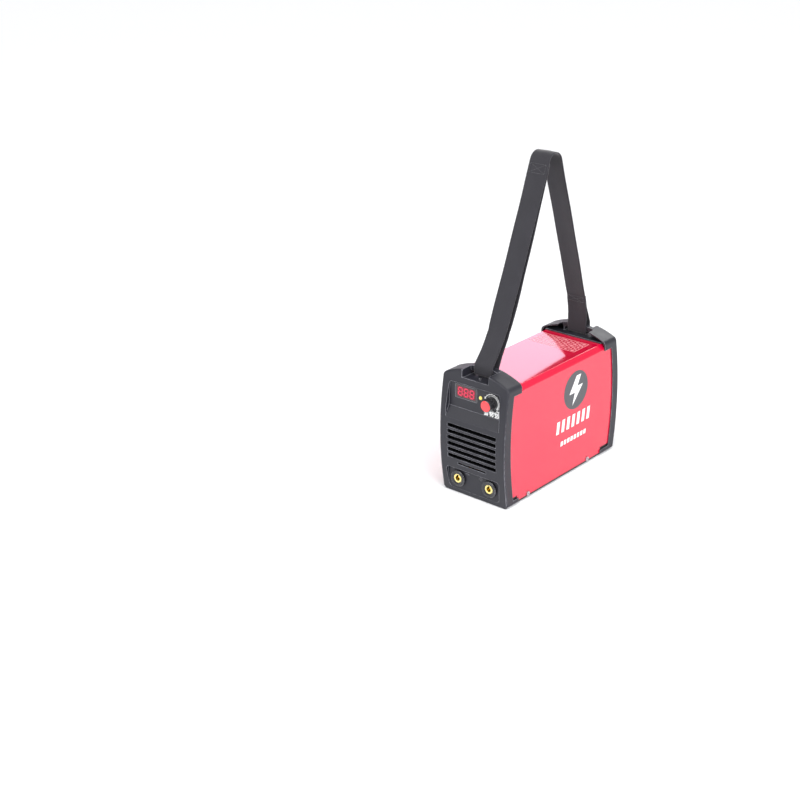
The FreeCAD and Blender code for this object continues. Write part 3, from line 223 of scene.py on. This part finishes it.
FINISHES = {
    # the light edge colours of the bezel, the red paint and the sockets are painted highlight as well
    # as wear
    "bezel_plastic": surface("bezel_plastic", (0.016, 0.016, 0.023), 0.40, grain=2200, relief=0.00004,
                             bevel=0.0013, edge_wear_and_highlight=(0.42, 0.42, 0.47),
                             constants={"Specular_IOR_Level": 0.38}),
    "red_paint": surface("red_paint", (0.58, 0.002, 0.034), 0.035, grain=900, relief=0.000002,
                         mottle=0.03, bevel=0.0006, edge_wear_and_highlight=(0.85, 0.10, 0.12), constants=POWDER),
    "tray_steel": surface("tray_steel", (0.028, 0.028, 0.031), 0.45, grain=1100, bevel=0.0004),
    "screw_steel": metal("screw_steel", (0.52, 0.52, 0.55), 0.28, grain=700, bevel=0.0003),
    "socket_plastic": surface("socket_plastic", (0.008, 0.008, 0.011), 0.16, bevel=0.0010,
                              edge_wear_and_highlight=(0.45, 0.45, 0.50), constants={"Coat_Weight": 0.2}),
    "socket_brass": metal("socket_brass", (0.98, 0.80, 0.30), 0.24, grain=500, stretch=(1, 6, 1),
                          bevel=0.0004),
    "copper": metal("copper", (0.80, 0.40, 0.24), 0.3, grain=600, stretch=(1, 1, 0.1)),
    "window": surface("window", (0.016, 0.010, 0.013), 0.12, relief=0.000004, constants=GLOSSY),
    "display": surface("display", (0.10, 0.01, 0.012), 0.35),
    "circuit_board": surface("circuit_board", (0.03, 0.20, 0.09), 0.35, grain=500, mottle=0.3,
                             patch=160, relief=0.00005),
    "nylon": surface("nylon", (0.80, 0.79, 0.74), 0.5),
    "lamp": lit("lamp", (0.80, 0.66, 0.14), 0.35, 0.15),
    "knob_black": surface("knob_black", (0.016, 0.016, 0.018), 0.16, relief=0.000008, bevel=0.0005,
                          constants=GLOSSY),
    "knob_red": surface("knob_red", (0.80, 0.035, 0.045), 0.3, relief=0.00001, mottle=0.05,
                        bevel=0.0006, constants=GLOSSY),
    "shaft_steel": metal("shaft_steel", (0.68, 0.68, 0.70), 0.3, grain=500, stretch=(1, 5, 1)),
    "fan_plastic": surface("fan_plastic", (0.024, 0.024, 0.027), 0.5, bevel=0.0006),
    "switch_plastic": surface("switch_plastic", (0.02, 0.02, 0.021), 0.3, bevel=0.0006,
                              constants=GLOSSY),
    "rocker_plastic": surface("rocker_plastic", (0.62, 0.03, 0.04), 0.2, mottle=0.05, bevel=0.0006,
                              constants=GLOSSY),
    "gland_nylon": surface("gland_nylon", (0.035, 0.035, 0.04), 0.45, bevel=0.0006),
    # partly painted shade: the foam filter is coloured near black, far darker than foam, so the inside
    # behind the louvres reads as shaded
    "filter_foam": surface("filter_foam", (0.002, 0.002, 0.0025), 0.95, grain=900, relief=0.0008,
                           mottle=0.5, constants={"Specular_IOR_Level": 0.05}),
    "seal_rubber": surface("seal_rubber", (0.02, 0.02, 0.02), 0.8, relief=0.00004),
    "heatsink_metal": metal("heatsink_metal", (0.74, 0.75, 0.77), 0.34, grain=500,
                            stretch=(1, 0.05, 1)),
    "package_black": surface("package_black", (0.035, 0.035, 0.04), 0.55, relief=0.00004),
    "capacitor_sleeve": surface("capacitor_sleeve", (0.04, 0.05, 0.16), 0.3, constants=GLOSSY),
    "resistor_ceramic": surface("resistor_ceramic", (0.85, 0.83, 0.77), 0.75, grain=700,
                                relief=0.00008),
    "ferrite": surface("ferrite", (0.09, 0.09, 0.10), 0.6, grain=600, relief=0.00006, mottle=0.3),
    "winding_tape": surface("winding_tape", (0.85, 0.62, 0.16), 0.3, grain=300, stretch=(1, 1, 8),
                            constants=GLOSSY),
    "enamelled_copper": surface("enamelled_copper", (0.62, 0.22, 0.08), 0.25, grain=300,
                                mottle=0.25, constants=GLOSSY),
    "webbing": webbing("webbing", (0.015, 0.014, 0.019)),
}

PRINT_WHITE = surface("print_white", (0.86, 0.86, 0.86), 0.45, grain=1500, mottle=0.05, bevel=0.0001)
PRINT_GREY = surface("print_grey", (0.060, 0.062, 0.070), 0.35, grain=1500, mottle=0.1, bevel=0.0001)
PRINT_FAINT = surface("print_faint", (0.90, 0.42, 0.46), 0.5, grain=1500, mottle=0.1, bevel=0.0001)
STITCH = surface("stitch_thread", (0.10, 0.098, 0.108), 0.7, grain=4000, relief=0.00008,
                 stretch=(1, 1, 6), bevel=0.0001)
DIGIT_FIELD = lit("digit_field", (0.13, 0.002, 0.012), 0.15)
DIGIT_LIT = lit("digit_lit", (0.62, 0.012, 0.060), 0.22)
# painted shade: the dark colour of the screws' driver recesses, laid on as thin crosses
SCREW_RECESS_SHADE = surface("screw_recess_shade", (0.05, 0.05, 0.052), 0.6, bevel=0.0001)


def dress_frame():
    for row in frame["record"]["subparts"]:
        for holder in NODES[row["node"]].material_slots:
            holder.material = FINISHES[row["material_slot"]]


# ---------------------------------------------------------------- pieces

PRINT = 0.00012          # thickness of anything printed
BOLD = 0.05              # how far a numeral's strokes are thickened, as a share of its size


def middle(node):
    low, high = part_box(node)
    return (Vector(low) + Vector(high)) / 2


def add_piece(name, mesh, material):
    mesh.materials.clear()
    mesh.materials.append(material)
    piece = bpy.data.objects.new(name, mesh)
    bpy.context.scene.collection.objects.link(piece)
    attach(piece, "machine")
    return piece


def plates(name, outlines, origin, across, upward, thick, material):
    """Flat closed shapes of one thickness, standing proud of a surface: print, marks and plates."""
    origin, across, upward = Vector(origin), Vector(across), Vector(upward)
    proud = across.cross(upward) * thick
    points, faces = [], []
    for outline in outlines:
        first = len(points)
        count = len(outline)
        foot = [origin + across * x + upward * y for x, y in outline]
        points += foot + [point + proud for point in foot]
        faces.append(tuple(first + count + index for index in range(count)))
        faces.append(tuple(first + index for index in reversed(range(count))))
        for index in range(count):
            after = (index + 1) % count
            faces.append((first + index, first + after, first + count + after, first + count + index))
    mesh = bpy.data.meshes.new(name)
    mesh.from_pydata(points, [], faces)
    mesh.validate()
    return add_piece(name, mesh, material)


def rectangle(x_low, y_low, x_high, y_high, lean=0.0):
    return [(x_low, y_low), (x_high, y_low), (x_high + lean, y_high), (x_low + lean, y_high)]


def arc_band(inner, outer_start, outer_end, start, stop, count=64):
    """Part of a ring, in degrees clockwise from straight up, that may widen along its length."""
    angles = [math.radians(start + (stop - start) * step / count) for step in range(count + 1)]
    outer = [outer_start + (outer_end - outer_start) * step / count for step in range(count + 1)]
    rim = [(math.sin(a) * r, math.cos(a) * r) for a, r in zip(angles, outer)]
    hollow = [(math.sin(a) * inner, math.cos(a) * inner) for a in angles]
    return (rim + hollow[::-1])[::-1]


def disc(radius, count=96):
    return [(math.cos(t) * radius, math.sin(t) * radius)
            for t in (2 * math.pi * step / count for step in range(count))]


def numerals(name, rows, size, origin, material):
    """Printed numbers that face -Y. rows holds (text, x, z) from the origin."""
    for index, (text, x, z) in enumerate(rows):
        curve = bpy.data.curves.new(f"{name}_{index}", "FONT")
        curve.body = text
        curve.size = size
        curve.extrude = PRINT / 2
        curve.offset = size * BOLD
        curve.resolution_u = 4
        curve.align_x = "CENTER"
        curve.align_y = "CENTER"
        holder = bpy.data.objects.new(f"{name}_{index}", curve)
        bpy.context.scene.collection.objects.link(holder)
        bpy.context.view_layer.update()
        mesh = bpy.data.meshes.new_from_object(holder)
        mesh.transform(Matrix.Rotation(math.pi / 2, 4, "X"))
        mesh.transform(Matrix.Translation(Vector(origin) + Vector((x, -PRINT / 2, z))))
        bpy.data.objects.remove(holder)
        add_piece(f"{name}_{index}", mesh, material)


# ---------------------------------------------------------------- strap

STRAP_WIDE = 0.038
STRAP_THICK = 0.0022
STRAP_STEP = 0.0025      # the furthest that two rings of the webbing stand apart
UNDER = 210.9            # height of the webbing's middle under both bars, in millimetres
# (y, z) in millimetres and the radius of each bend: down the inner layer at the front, round the
# front bar, up and over the carrying point, round the rear bar and back up to the rear seam
STRAP_ROUTE = [
    ((12.9, 528.6), 0), ((11.0, 524), 20), ((4.3, 504), 60), ((-18.8, 440), 600),
    ((-60, 330), 400), ((-90, 264), 120), ((-104, 242), 60), ((-114.2, 222), 14),
    ((-114.2, UNDER), 1.5), ((-129.9, UNDER), 1.5), ((-129.9, 227), 12), ((-113, 247.5), 60),
    ((-96, 274), 90), ((-67.2, 339), 300), ((-20.4, 454), 700), ((31.3, 580), 18),
    ((76, 433), 900), ((123, 280), 60), ((127.6, 250), 80), ((127.6, UNDER), 1.5),
    ((138.9, UNDER), 1.5), ((138.9, 231), 20), ((128.6, 262), 60), ((126.2, 279), 0),
]
# each sewn box: its lower and upper end, (y, z) in millimetres, and the side of the webbing that
# it is on, -1 for the one towards the front and 1 for the one towards the rear
SEAMS = [
    ((123.7, 268), (122.4, 277.5), -1),
    ((127.6, 268), (126.4, 277.5), 1),
    ((4.1, 513.7), (9.8, 527.6), -1),
    ((9.2, 515.5), (12.2, 526.5), 1),
]
SEAM_INSET = 0.004       # from the webbing's edge to a sewn box
STITCH_PITCH = 0.0034
THREAD_RADIUS = 0.00028
TAIL = 0.052             # how much of the end behind the rear leg lies a little to one side


def on_strap(y, z):
    """A point in the plane of the strap's middle, from millimetres."""
    return Vector((0, y / 1000, z / 1000))


def strap_line():
    """Points along the middle of the webbing, in metres."""
    corners = [on_strap(y, z) for (y, z), _ in STRAP_ROUTE]
    bends = [radius / 1000 for _, radius in STRAP_ROUTE]
    line = [corners[0]]

    def run_to(target):
        start = line[-1]
        steps = max(1, math.ceil((target - start).length / STRAP_STEP))
        line.extend(start.lerp(target, step / steps) for step in range(1, steps + 1))

    for before, corner, after, radius in zip(corners, corners[1:], corners[2:], bends[1:]):
        incoming = (corner - before).normalized()
        outgoing = (after - corner).normalized()
        turn = incoming.angle(outgoing)
        trim = radius * math.tan(turn / 2)
        run_to(corner - incoming * trim)
        centre = corner + (outgoing - incoming).normalized() * (radius / math.cos(turn / 2))
        spoke = line[-1] - centre
        axis = incoming.cross(outgoing).normalized()
        steps = max(4, math.ceil(radius * turn / STRAP_STEP))
        for step in range(1, steps + 1):
            line.append(centre + Matrix.Rotation(turn * step / steps, 3, axis) @ spoke)
    run_to(corners[-1])
    return line


def bell(value, centre, spread):
    return math.exp(-((value - centre) / spread) ** 2)


def ramped(value, start, reach):
    """0 up to start, rising to 1 over reach."""
    return min(1.0, max(0.0, (value - start) / reach))


def strap_section():
    """The webbing's cross-section: flat faces, slightly raised selvedges and rounded edges."""
    half, thick = STRAP_WIDE / 2, STRAP_THICK / 2
    columns, edge_in, edge_drop = 20, 0.0008, 0.0001
    ridge, ridge_in, ridge_wide = 0.00012, 0.0024, 0.0012
    top = []
    for step in range(columns + 1):
        x = -half + edge_in + (STRAP_WIDE - 2 * edge_in) * step / columns
        left, right = bell(x, -half + ridge_in, ridge_wide), bell(x, half - ridge_in, ridge_wide)
        top.append((x, thick - edge_drop + ridge * (left + right)))
    nose_in, nose_high = 0.0002, thick * 0.55
    edge = [(half - nose_in, nose_high), (half, 0.0), (half - nose_in, -nose_high)]
    under = [(x, -height) for x, height in reversed(top)]
    return top + edge + under + [(-x, -height) for x, height in edge]


def strap_ring(section, centre, outward, run, left):
    """One ring of the webbing, run along from its start and left before its end.

    On the free legs it cups and sways a little. It twists just above the front bar, narrows at
    the height of the rear seam, and its tail lies slightly to one side.
    """
    clear_of_bars, above_front_bar, rear_seam = 0.225, 0.255, 0.276
    free = ramped(centre.z, clear_of_bars, 0.03)
    sway = 0.0004 * math.sin(run * 23.0) + 0.0002 * math.sin(run * 61.0)
    twist = 0.10 * bell(centre.z, above_front_bar, 0.028) if -0.13 < centre.y < -0.06 else 0.0
    narrowed = 1 - 0.025 * bell(centre.z, rear_seam, 0.004)
    aside = 0.0022 * ramped(centre.z, 0.229, 0.03) if left < TAIL else 0.0
    ring = []
    for x, height in section:
        cup = 0.0003 * math.cos(x / STRAP_WIDE * 2 * math.pi)
        point = centre + outward * (height + cup * free)
        point.x = x * narrowed + sway * free - aside
        point.y -= twist * x
        ring.append(point)
    return ring


def make_strap():
    line = strap_line()
    section = strap_section()
    count = len(section)
    lengths = [0.0]
    for start, stop in zip(line, line[1:]):
        lengths.append(lengths[-1] + (stop - start).length)
    points, uvs, faces = [], [], []
    for index, centre in enumerate(line):
        before, after = line[max(index - 1, 0)], line[min(index + 1, len(line) - 1)]
        along = (after - before).normalized()
        outward = Vector((0, -along.z, along.y))
        points += strap_ring(section, centre, outward, lengths[index], lengths[-1] - lengths[index])
        uvs += [(x, lengths[index]) for x, _ in section]
    for ring in range(len(line) - 1):
        for step in range(count):
            after = (step + 1) % count
            faces.append((ring * count + step, ring * count + after,
                          (ring + 1) * count + after, (ring + 1) * count + step))
    last = (len(line) - 1) * count
    faces.append(tuple(reversed(range(count))))
    faces.append(tuple(last + step for step in range(count)))
    mesh = bpy.data.meshes.new("strap_webbing")
    mesh.from_pydata(points, [], faces)
    layer = mesh.uv_layers.new(name="along_strap")
    for loop in mesh.loops:
        layer.data[loop.index].uv = uvs[loop.vertex_index]
    mesh.shade_smooth()
    strap = add_piece("strap_webbing", mesh, FINISHES["webbing"])
    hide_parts("shoulder_strap")
    stitches = make_stitches()


def thread(points, faces, start, stop, lift):
    """One stitch: a short rounded bead of thread lying on the webbing."""
    along = (stop - start).normalized()
    side = along.cross(lift).normalized()
    first = len(points)
    sides, rings, slim, hump = 6, 5, 0.45, 0.00015
    for ring in range(rings):
        share = ring / (rings - 1)
        swell = THREAD_RADIUS * (slim + (1 - slim) * math.sin(math.pi * share))
        centre = start.lerp(stop, share) + lift * (hump * math.sin(math.pi * share))
        for step in range(sides):
            angle = 2 * math.pi * step / sides
            points.append(centre + side * (math.cos(angle) * swell) + lift * (math.sin(angle) * swell))
    for ring in range(rings - 1):
        for step in range(sides):
            after = (step + 1) % sides
            low, high = first + ring * sides, first + (ring + 1) * sides
            faces.append((low + step, high + step, high + after, low + after))
    faces.append(tuple(first + step for step in range(sides)))
    faces.append(tuple(first + (rings - 1) * sides + step for step in reversed(range(sides))))


def seam(points, faces, low, high, lift):
    """A sewn box with a cross in it, between two heights on the webbing."""
    half = STRAP_WIDE / 2 - SEAM_INSET
    corners = [low + Vector((-half, 0, 0)), low + Vector((half, 0, 0)),
               high + Vector((half, 0, 0)), high + Vector((-half, 0, 0))]
    opens, closes = 0.12, 0.82
    for first, second in ((0, 1), (1, 2), (2, 3), (3, 0), (0, 2), (1, 3)):
        start, stop = corners[first], corners[second]
        count = max(3, round((stop - start).length / STITCH_PITCH))
        for step in range(count):
            thread(points, faces, start.lerp(stop, (step + opens) / count),
                   start.lerp(stop, (step + closes) / count), lift)


def make_stitches():
    points, faces = [], []
    reach = STRAP_THICK / 2 + 0.0001         # to the middle of the thread
    for low, high, side in SEAMS:
        bottom, top = on_strap(*low), on_strap(*high)
        along = (top - bottom).normalized()
        lift = Vector((0, along.z, -along.y)) * side
        seam(points, faces, bottom + lift * reach, top + lift * reach, lift)
    mesh = bpy.data.meshes.new("strap_stitches")
    mesh.from_pydata(points, [], faces)
    mesh.shade_smooth()
    return add_piece("strap_stitches", mesh, STITCH)


# ---------------------------------------------------------------- front panel

PANEL_FACE = -0.151      # the floor of the sunk control panel, which the dial is printed on
# each bar of a seven-segment figure, in widths and half heights from the figure's middle
SEGMENTS = {
    "top": ((-0.5, 1), (0.5, 1)), "middle": ((-0.5, 0), (0.5, 0)), "foot": ((-0.5, -1), (0.5, -1)),
    "upper_left": ((-0.5, 0), (-0.5, 1)), "upper_right": ((0.5, 0), (0.5, 1)),
    "lower_left": ((-0.5, -1), (-0.5, 0)), "lower_right": ((0.5, -1), (0.5, 0)),
}


def segment(start, stop, half, gap):
    """One bar of a seven-segment figure, pointed at both ends."""
    dx, dy = stop[0] - start[0], stop[1] - start[1]
    length = math.hypot(dx, dy)
    ux, uy = dx / length, dy / length
    ring = [(gap, 0), (gap + half, -half), (length - gap - half, -half), (length - gap, 0),
            (length - gap - half, half), (gap + half, half)]
    return [(start[0] + ux * a - uy * b, start[1] + uy * a + ux * b) for a, b in ring]


def make_digits():
    """Three leaning eights, all segments lit, on a dark red field on the window's face."""
    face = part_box("display_window")[0][1]
    centre = middle("display_window")
    half_wide, half_tall, field_thick = 0.0185, 0.0088, 0.00015
    field = rectangle(-half_wide, -half_tall, half_wide, half_tall)
    plates("display_field", [field], (centre.x, face, centre.z), (1, 0, 0), (0, 0, 1), field_thick,
           DIGIT_FIELD)
    tall, wide, lean, pitch = 0.0066, 0.0076, 0.05, 0.0119
    bar_half, bar_gap = 0.00105, 0.00035
    bars = []
    for place in (-1, 0, 1):
        for ends in SEGMENTS.values():
            start, stop = [(place * pitch + x * wide + y * tall * lean, y * tall) for x, y in ends]
            bars.append(segment(start, stop, bar_half, bar_gap))
    plates("display_digits", bars, (centre.x, face - field_thick, centre.z), (1, 0, 0), (0, 0, 1),
           PRINT, DIGIT_LIT)


def dial_tick(angle, inner, outer, half=0.00035):
    """One radial mark, at an angle clockwise from straight up."""
    ux, uy = math.sin(angle), math.cos(angle)
    return [(ux * r + uy * s, uy * r - ux * s)
            for r, s in ((outer, -half), (outer, half), (inner, half), (inner, -half))]


def make_dial_print():
    """The printed arc and ticks round the knob, a white crescent round its foot that is a painted
    highlight, and a plain scale and numbers below.
    """
    dial = middle("knob_shaft")
    at = (dial.x, PANEL_FACE, dial.z)
    arc_inner, arc_outer = 0.0141, 0.0148
    ring = arc_band(arc_inner, arc_outer, arc_outer, -66, 138)
    # painted highlight: a white crescent, widening along its length, for the gloss on the knob's black
    # side
    glint_crescent = arc_band(0.0117, 0.0119, 0.0136, -40, 135)
    start_mark = rectangle(-0.0152, 0.0042, -0.0132, 0.0072, 0.0006)
    end_mark = rectangle(0.0088, -0.0135, 0.0165, -0.0117)
    marks = [ring, glint_crescent, start_mark, end_mark]
    first_angle, swept, ticks = -62, 200, 10
    for step in range(ticks + 1):
        angle = math.radians(first_angle + swept * step / ticks)
        marks.append(dial_tick(angle, arc_outer, 0.0166 if step % 5 == 0 else 0.0160))
    plates("dial_print_and_glint", marks, at, (1, 0, 0), (0, 0, 1), PRINT, PRINT_WHITE)
    left, right, bar_low, bar_high = -0.0165, 0.0170, -0.0178, -0.0166
    tick_pitch, tick_wide, long_top, short_top = 0.00194, 0.0013, -0.0138, -0.0150
    scale = [rectangle(left, bar_low, right, bar_high)]
    for step in range(18):
        x = left + tick_pitch * step
        scale.append(rectangle(x, bar_high, x + tick_wide, long_top if step % 3 == 0 else short_top))
    plates("dial_scale", scale, at, (1, 0, 0), (0, 0, 1), PRINT, PRINT_WHITE)
    row = -0.0212
    rows = [("20", -0.0120, row), ("90", -0.0012, row), ("200", 0.0112, row)]
    numerals("dial_numeral", rows, 0.0082, at, PRINT_WHITE)


# ---------------------------------------------------------------- screws

FAN_SCREW_OUT = 0.04125  # from the fan's axis to each of its screws, across and up


def make_recess_shades():
    """A thin dark cross on each visible screw head, a painted shade where its driver recess would be.
    """
    reach, half, thick = 0.0014, 0.00028, 0.00008
    cross = [rectangle(-reach, -half, reach, half), rectangle(-half, -reach, half, reach)]
    low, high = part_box("cover_screws")
    height, inset = 0.0086, 0.0033
    seats = []
    for y in (low[1] + inset, high[1] - inset):
        seats.append(((high[0], y, height), (0, 1, 0), (0, 0, 1)))
        seats.append(((low[0], y, height), (0, -1, 0), (0, 0, 1)))
    arch = middle("arch_screw")
    seats.append(((arch.x, arch.y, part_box("arch_screw")[1][2]), (1, 0, 0), (0, 1, 0)))
    fan = middle("fan_screws")
    fan_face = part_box("fan_screws")[1][1]
    for side in (-1, 1):
        for rise in (-1, 1):
            at = (fan.x + side * FAN_SCREW_OUT, fan_face, fan.z + rise * FAN_SCREW_OUT)
            seats.append((at, (-1, 0, 0), (0, 0, 1)))
    for number, (at, across, upward) in enumerate(seats):
        plates(f"driver_recess_shade_{number}", cross, at, across, upward, thick, SCREW_RECESS_SHADE)


# ---------------------------------------------------------------- cover print

def slanted_row(count, start, pitch, wide, low, high, lean):
    """Equal slanted bars side by side, from start on, between two heights."""
    return [rectangle(start + pitch * step, low, start + pitch * step + wide, high, lean)
            for step in range(count)]


def make_side_print():
    """A plain disc with a spark symbol and two rows of slanted bars, on both sides of the cover."""
    low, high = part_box("cover")
    emblem_y, emblem_z, emblem_radius, bars_y = 0.0358, 0.1500, 0.0338, 0.0310
    spark = [(0.0135, 0.0250), (0.0035, 0.0060), (0.0190, 0.0060), (-0.0095, -0.0260),
             (-0.0030, -0.0040), (-0.0185, -0.0040), (0.0010, 0.0250)]
    bars = slanted_row(7, -0.0490, 0.0144, 0.0075, 0.0850, 0.1070, 0.0030)
    bars += slanted_row(8, -0.0360, 0.0094, 0.0062, 0.0600, 0.0680, 0.0012)
    for side, name, face in ((1, "right", high[0]), (-1, "left", low[0])):
        across, upward = (0, side, 0), (0, 0, 1)
        plates(f"emblem_disc_{name}", [disc(emblem_radius)], (face, emblem_y, emblem_z), across, upward,
               PRINT, PRINT_GREY)
        plates(f"emblem_spark_{name}", [spark], (face + side * PRINT, emblem_y, emblem_z), across,
               upward, PRINT, PRINT_WHITE)
        plates(f"side_bars_{name}", bars, (face, bars_y, 0.0), across, upward, PRINT, PRINT_WHITE)


def make_top_print():
    """A printed table of dashes on top of the cover, near its rear."""
    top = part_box("cover")[1][2]
    rows, columns, wide, long = 5, 7, 0.092, 0.044
    half_line, half_dash = 0.0004, 0.0011
    table = []
    for step in range(rows + 1):
        y = -long / 2 + long * step / rows
        table.append(rectangle(-wide / 2, y - half_line, wide / 2, y + half_line))
    for step in range(columns + 1):
        x = -wide / 2 + wide * step / columns
        table.append(rectangle(x - half_line, -long / 2, x + half_line, long / 2))
    for row in range(rows):
        for column in range(columns):
            x = -wide / 2 + wide * (column + 0.5) / columns
            y = -long / 2 + long * (row + 0.5) / rows
            reach = 0.0022 + 0.0018 * ((row * 3 + column * 5) % 4) / 3
            table.append(rectangle(x - reach, y - half_dash, x + reach, y + half_dash))
    plates("top_table", table, (-0.003, 0.080, top), (1, 0, 0), (0, 1, 0), PRINT, PRINT_FAINT)


# ---------------------------------------------------------------- stage

def area_light(name, corner, first, second, power, colour=(1, 1, 1), only_gloss=False):
    """A soft box with one corner and its two sides given.

    It shines to the side where second x first points.
    """
    corner, first, second = Vector(corner), Vector(first), Vector(second)
    light = bpy.data.lights.new(name, "AREA")
    light.shape = "RECTANGLE"
    light.size = first.length
    light.size_y = second.length
    light.energy = power
    light.color = colour
    holder = bpy.data.objects.new(name, light)
    x, y = first.normalized(), second.normalized()
    turn = Matrix((x, y, x.cross(y))).transposed().to_4x4()
    turn.translation = corner + first / 2 + second / 2
    holder.matrix_world = turn
    holder.visible_camera = False
    holder.visible_diffuse = not only_gloss
    bpy.context.scene.collection.objects.link(holder)


def make_lights():
    """Two soft boxes seen only in gloss, one for the right side, one for the front, and a sun.

    The first is set out by level directions away from the main view and to its right.
    """
    away, beside, up = Vector((-0.671, 0.741, 0)), Vector((0.741, 0.671, 0)), Vector((0, 0, 1))
    corner = away * 1.539 + beside * 0.249 + up * 0.817
    rising = away * 0.070 - beside * 0.822 + up * 0.565
    falling = -away * 0.109 - beside * 0.569 - up * 0.815
    area_light("rear_softbox", corner, falling * 0.45, rising * 0.60, 2.7, (1, 0.80, 1),
               only_gloss=True)
    area_light("shoulder_strip", (-0.35, 0.62, 1.07), (0.55, 0, 0), (0, 0.25, -0.55), 4.5,
               only_gloss=True)
    area_light("key_softbox", (2.4, -1.5, 0.6), (-0.2, 1.9, 0), (-0.5, 0, 1.5), 45)
    area_light("edge_strip", (-1.3, -2.1, 1.1), (0.25, -0.15, 0), (0.2, 0.3, 1.3), 24)
    sun = bpy.data.lights.new("ceiling", "SUN")
    sun.energy = 1.9
    sun.angle = math.radians(50)
    holder = bpy.data.objects.new("ceiling", sun)
    holder.matrix_world = Vector((0.25, -0.30, 0.92)).to_track_quat("Z", "Y").to_matrix().to_4x4()
    bpy.context.scene.collection.objects.link(holder)


def make_world():
    """Even pale light, brighter at the horizon, and dimmer round one direction so that the top of
    the case stays deep red."""
    even, dimming, horizon_gain = 0.58, 0.53, 0.42
    dim_direction = Vector((-0.45, 0.78, 0.43)).normalized()
    world = bpy.data.worlds.new("studio")
    bpy.context.scene.world = world
    world.use_nodes = True
    tree = world.node_tree
    backdrop = tree.nodes["Background"]
    backdrop.inputs["Color"].default_value = (1, 1, 1, 1)
    coords = tree.nodes.new("ShaderNodeTexCoord")
    nearness = tree.nodes.new("ShaderNodeVectorMath")
    nearness.operation = "DOT_PRODUCT"
    nearness.inputs[1].default_value = dim_direction
    split = tree.nodes.new("ShaderNodeSeparateXYZ")
    tree.links.new(coords.outputs["Generated"], nearness.inputs[0])
    tree.links.new(coords.outputs["Generated"], split.inputs[0])

    def ramp(source, low, high):
        spread = tree.nodes.new("ShaderNodeMapRange")
        spread.interpolation_type = "SMOOTHSTEP"
        spread.inputs["From Min"].default_value = low
        spread.inputs["From Max"].default_value = high
        tree.links.new(source, spread.inputs["Value"])
        return spread.outputs["Result"]

    def joined(operation, first, second):
        node = tree.nodes.new("ShaderNodeMath")
        node.operation = operation
        for socket, value in zip(node.inputs, (first, second)):
            if isinstance(value, bpy.types.NodeSocket):
                tree.links.new(value, socket)
            else:
                socket.default_value = value
        return node.outputs[0]

    dimmed = joined("MULTIPLY", ramp(nearness.outputs["Value"], 0.55, 0.85),
                    ramp(split.outputs["Z"], 0.16, 0.30))
    strength = joined("SUBTRACT", even, joined("MULTIPLY", dimmed, dimming))
    height = joined("ABSOLUTE", split.outputs["Z"], 0.0)
    horizon = joined("MULTIPLY", joined("SUBTRACT", 1.0, ramp(height, 0.05, 0.24)), horizon_gain)
    tree.links.new(joined("ADD", strength, horizon), backdrop.inputs["Strength"])


def make_floor():
    reach = 40.0
    mesh = bpy.data.meshes.new("floor")
    mesh.from_pydata([(-reach, -reach, 0), (reach, -reach, 0), (reach, reach, 0), (-reach, reach, 0)],
                     [], [(0, 1, 2, 3)])
    glow = {"Emission_Color": (0.95, 0.97, 1, 1), "Emission_Strength": 0.06}
    mesh.materials.append(surface("floor_paper", (0.92, 0.925, 0.94), 0.9, grain=300, mottle=0.01,
                                  bevel=0.0001, constants=glow))
    floor = bpy.data.objects.new("floor", mesh)
    bpy.context.scene.collection.objects.link(floor)


make_camera()
dress_frame()
make_strap()
make_digits()
make_dial_print()
make_recess_shades()
make_side_print()
make_top_print()
make_lights()
make_world()
make_floor()
bpy.context.scene.view_settings.view_transform = "Standard"

bpy.context.view_layer.update()
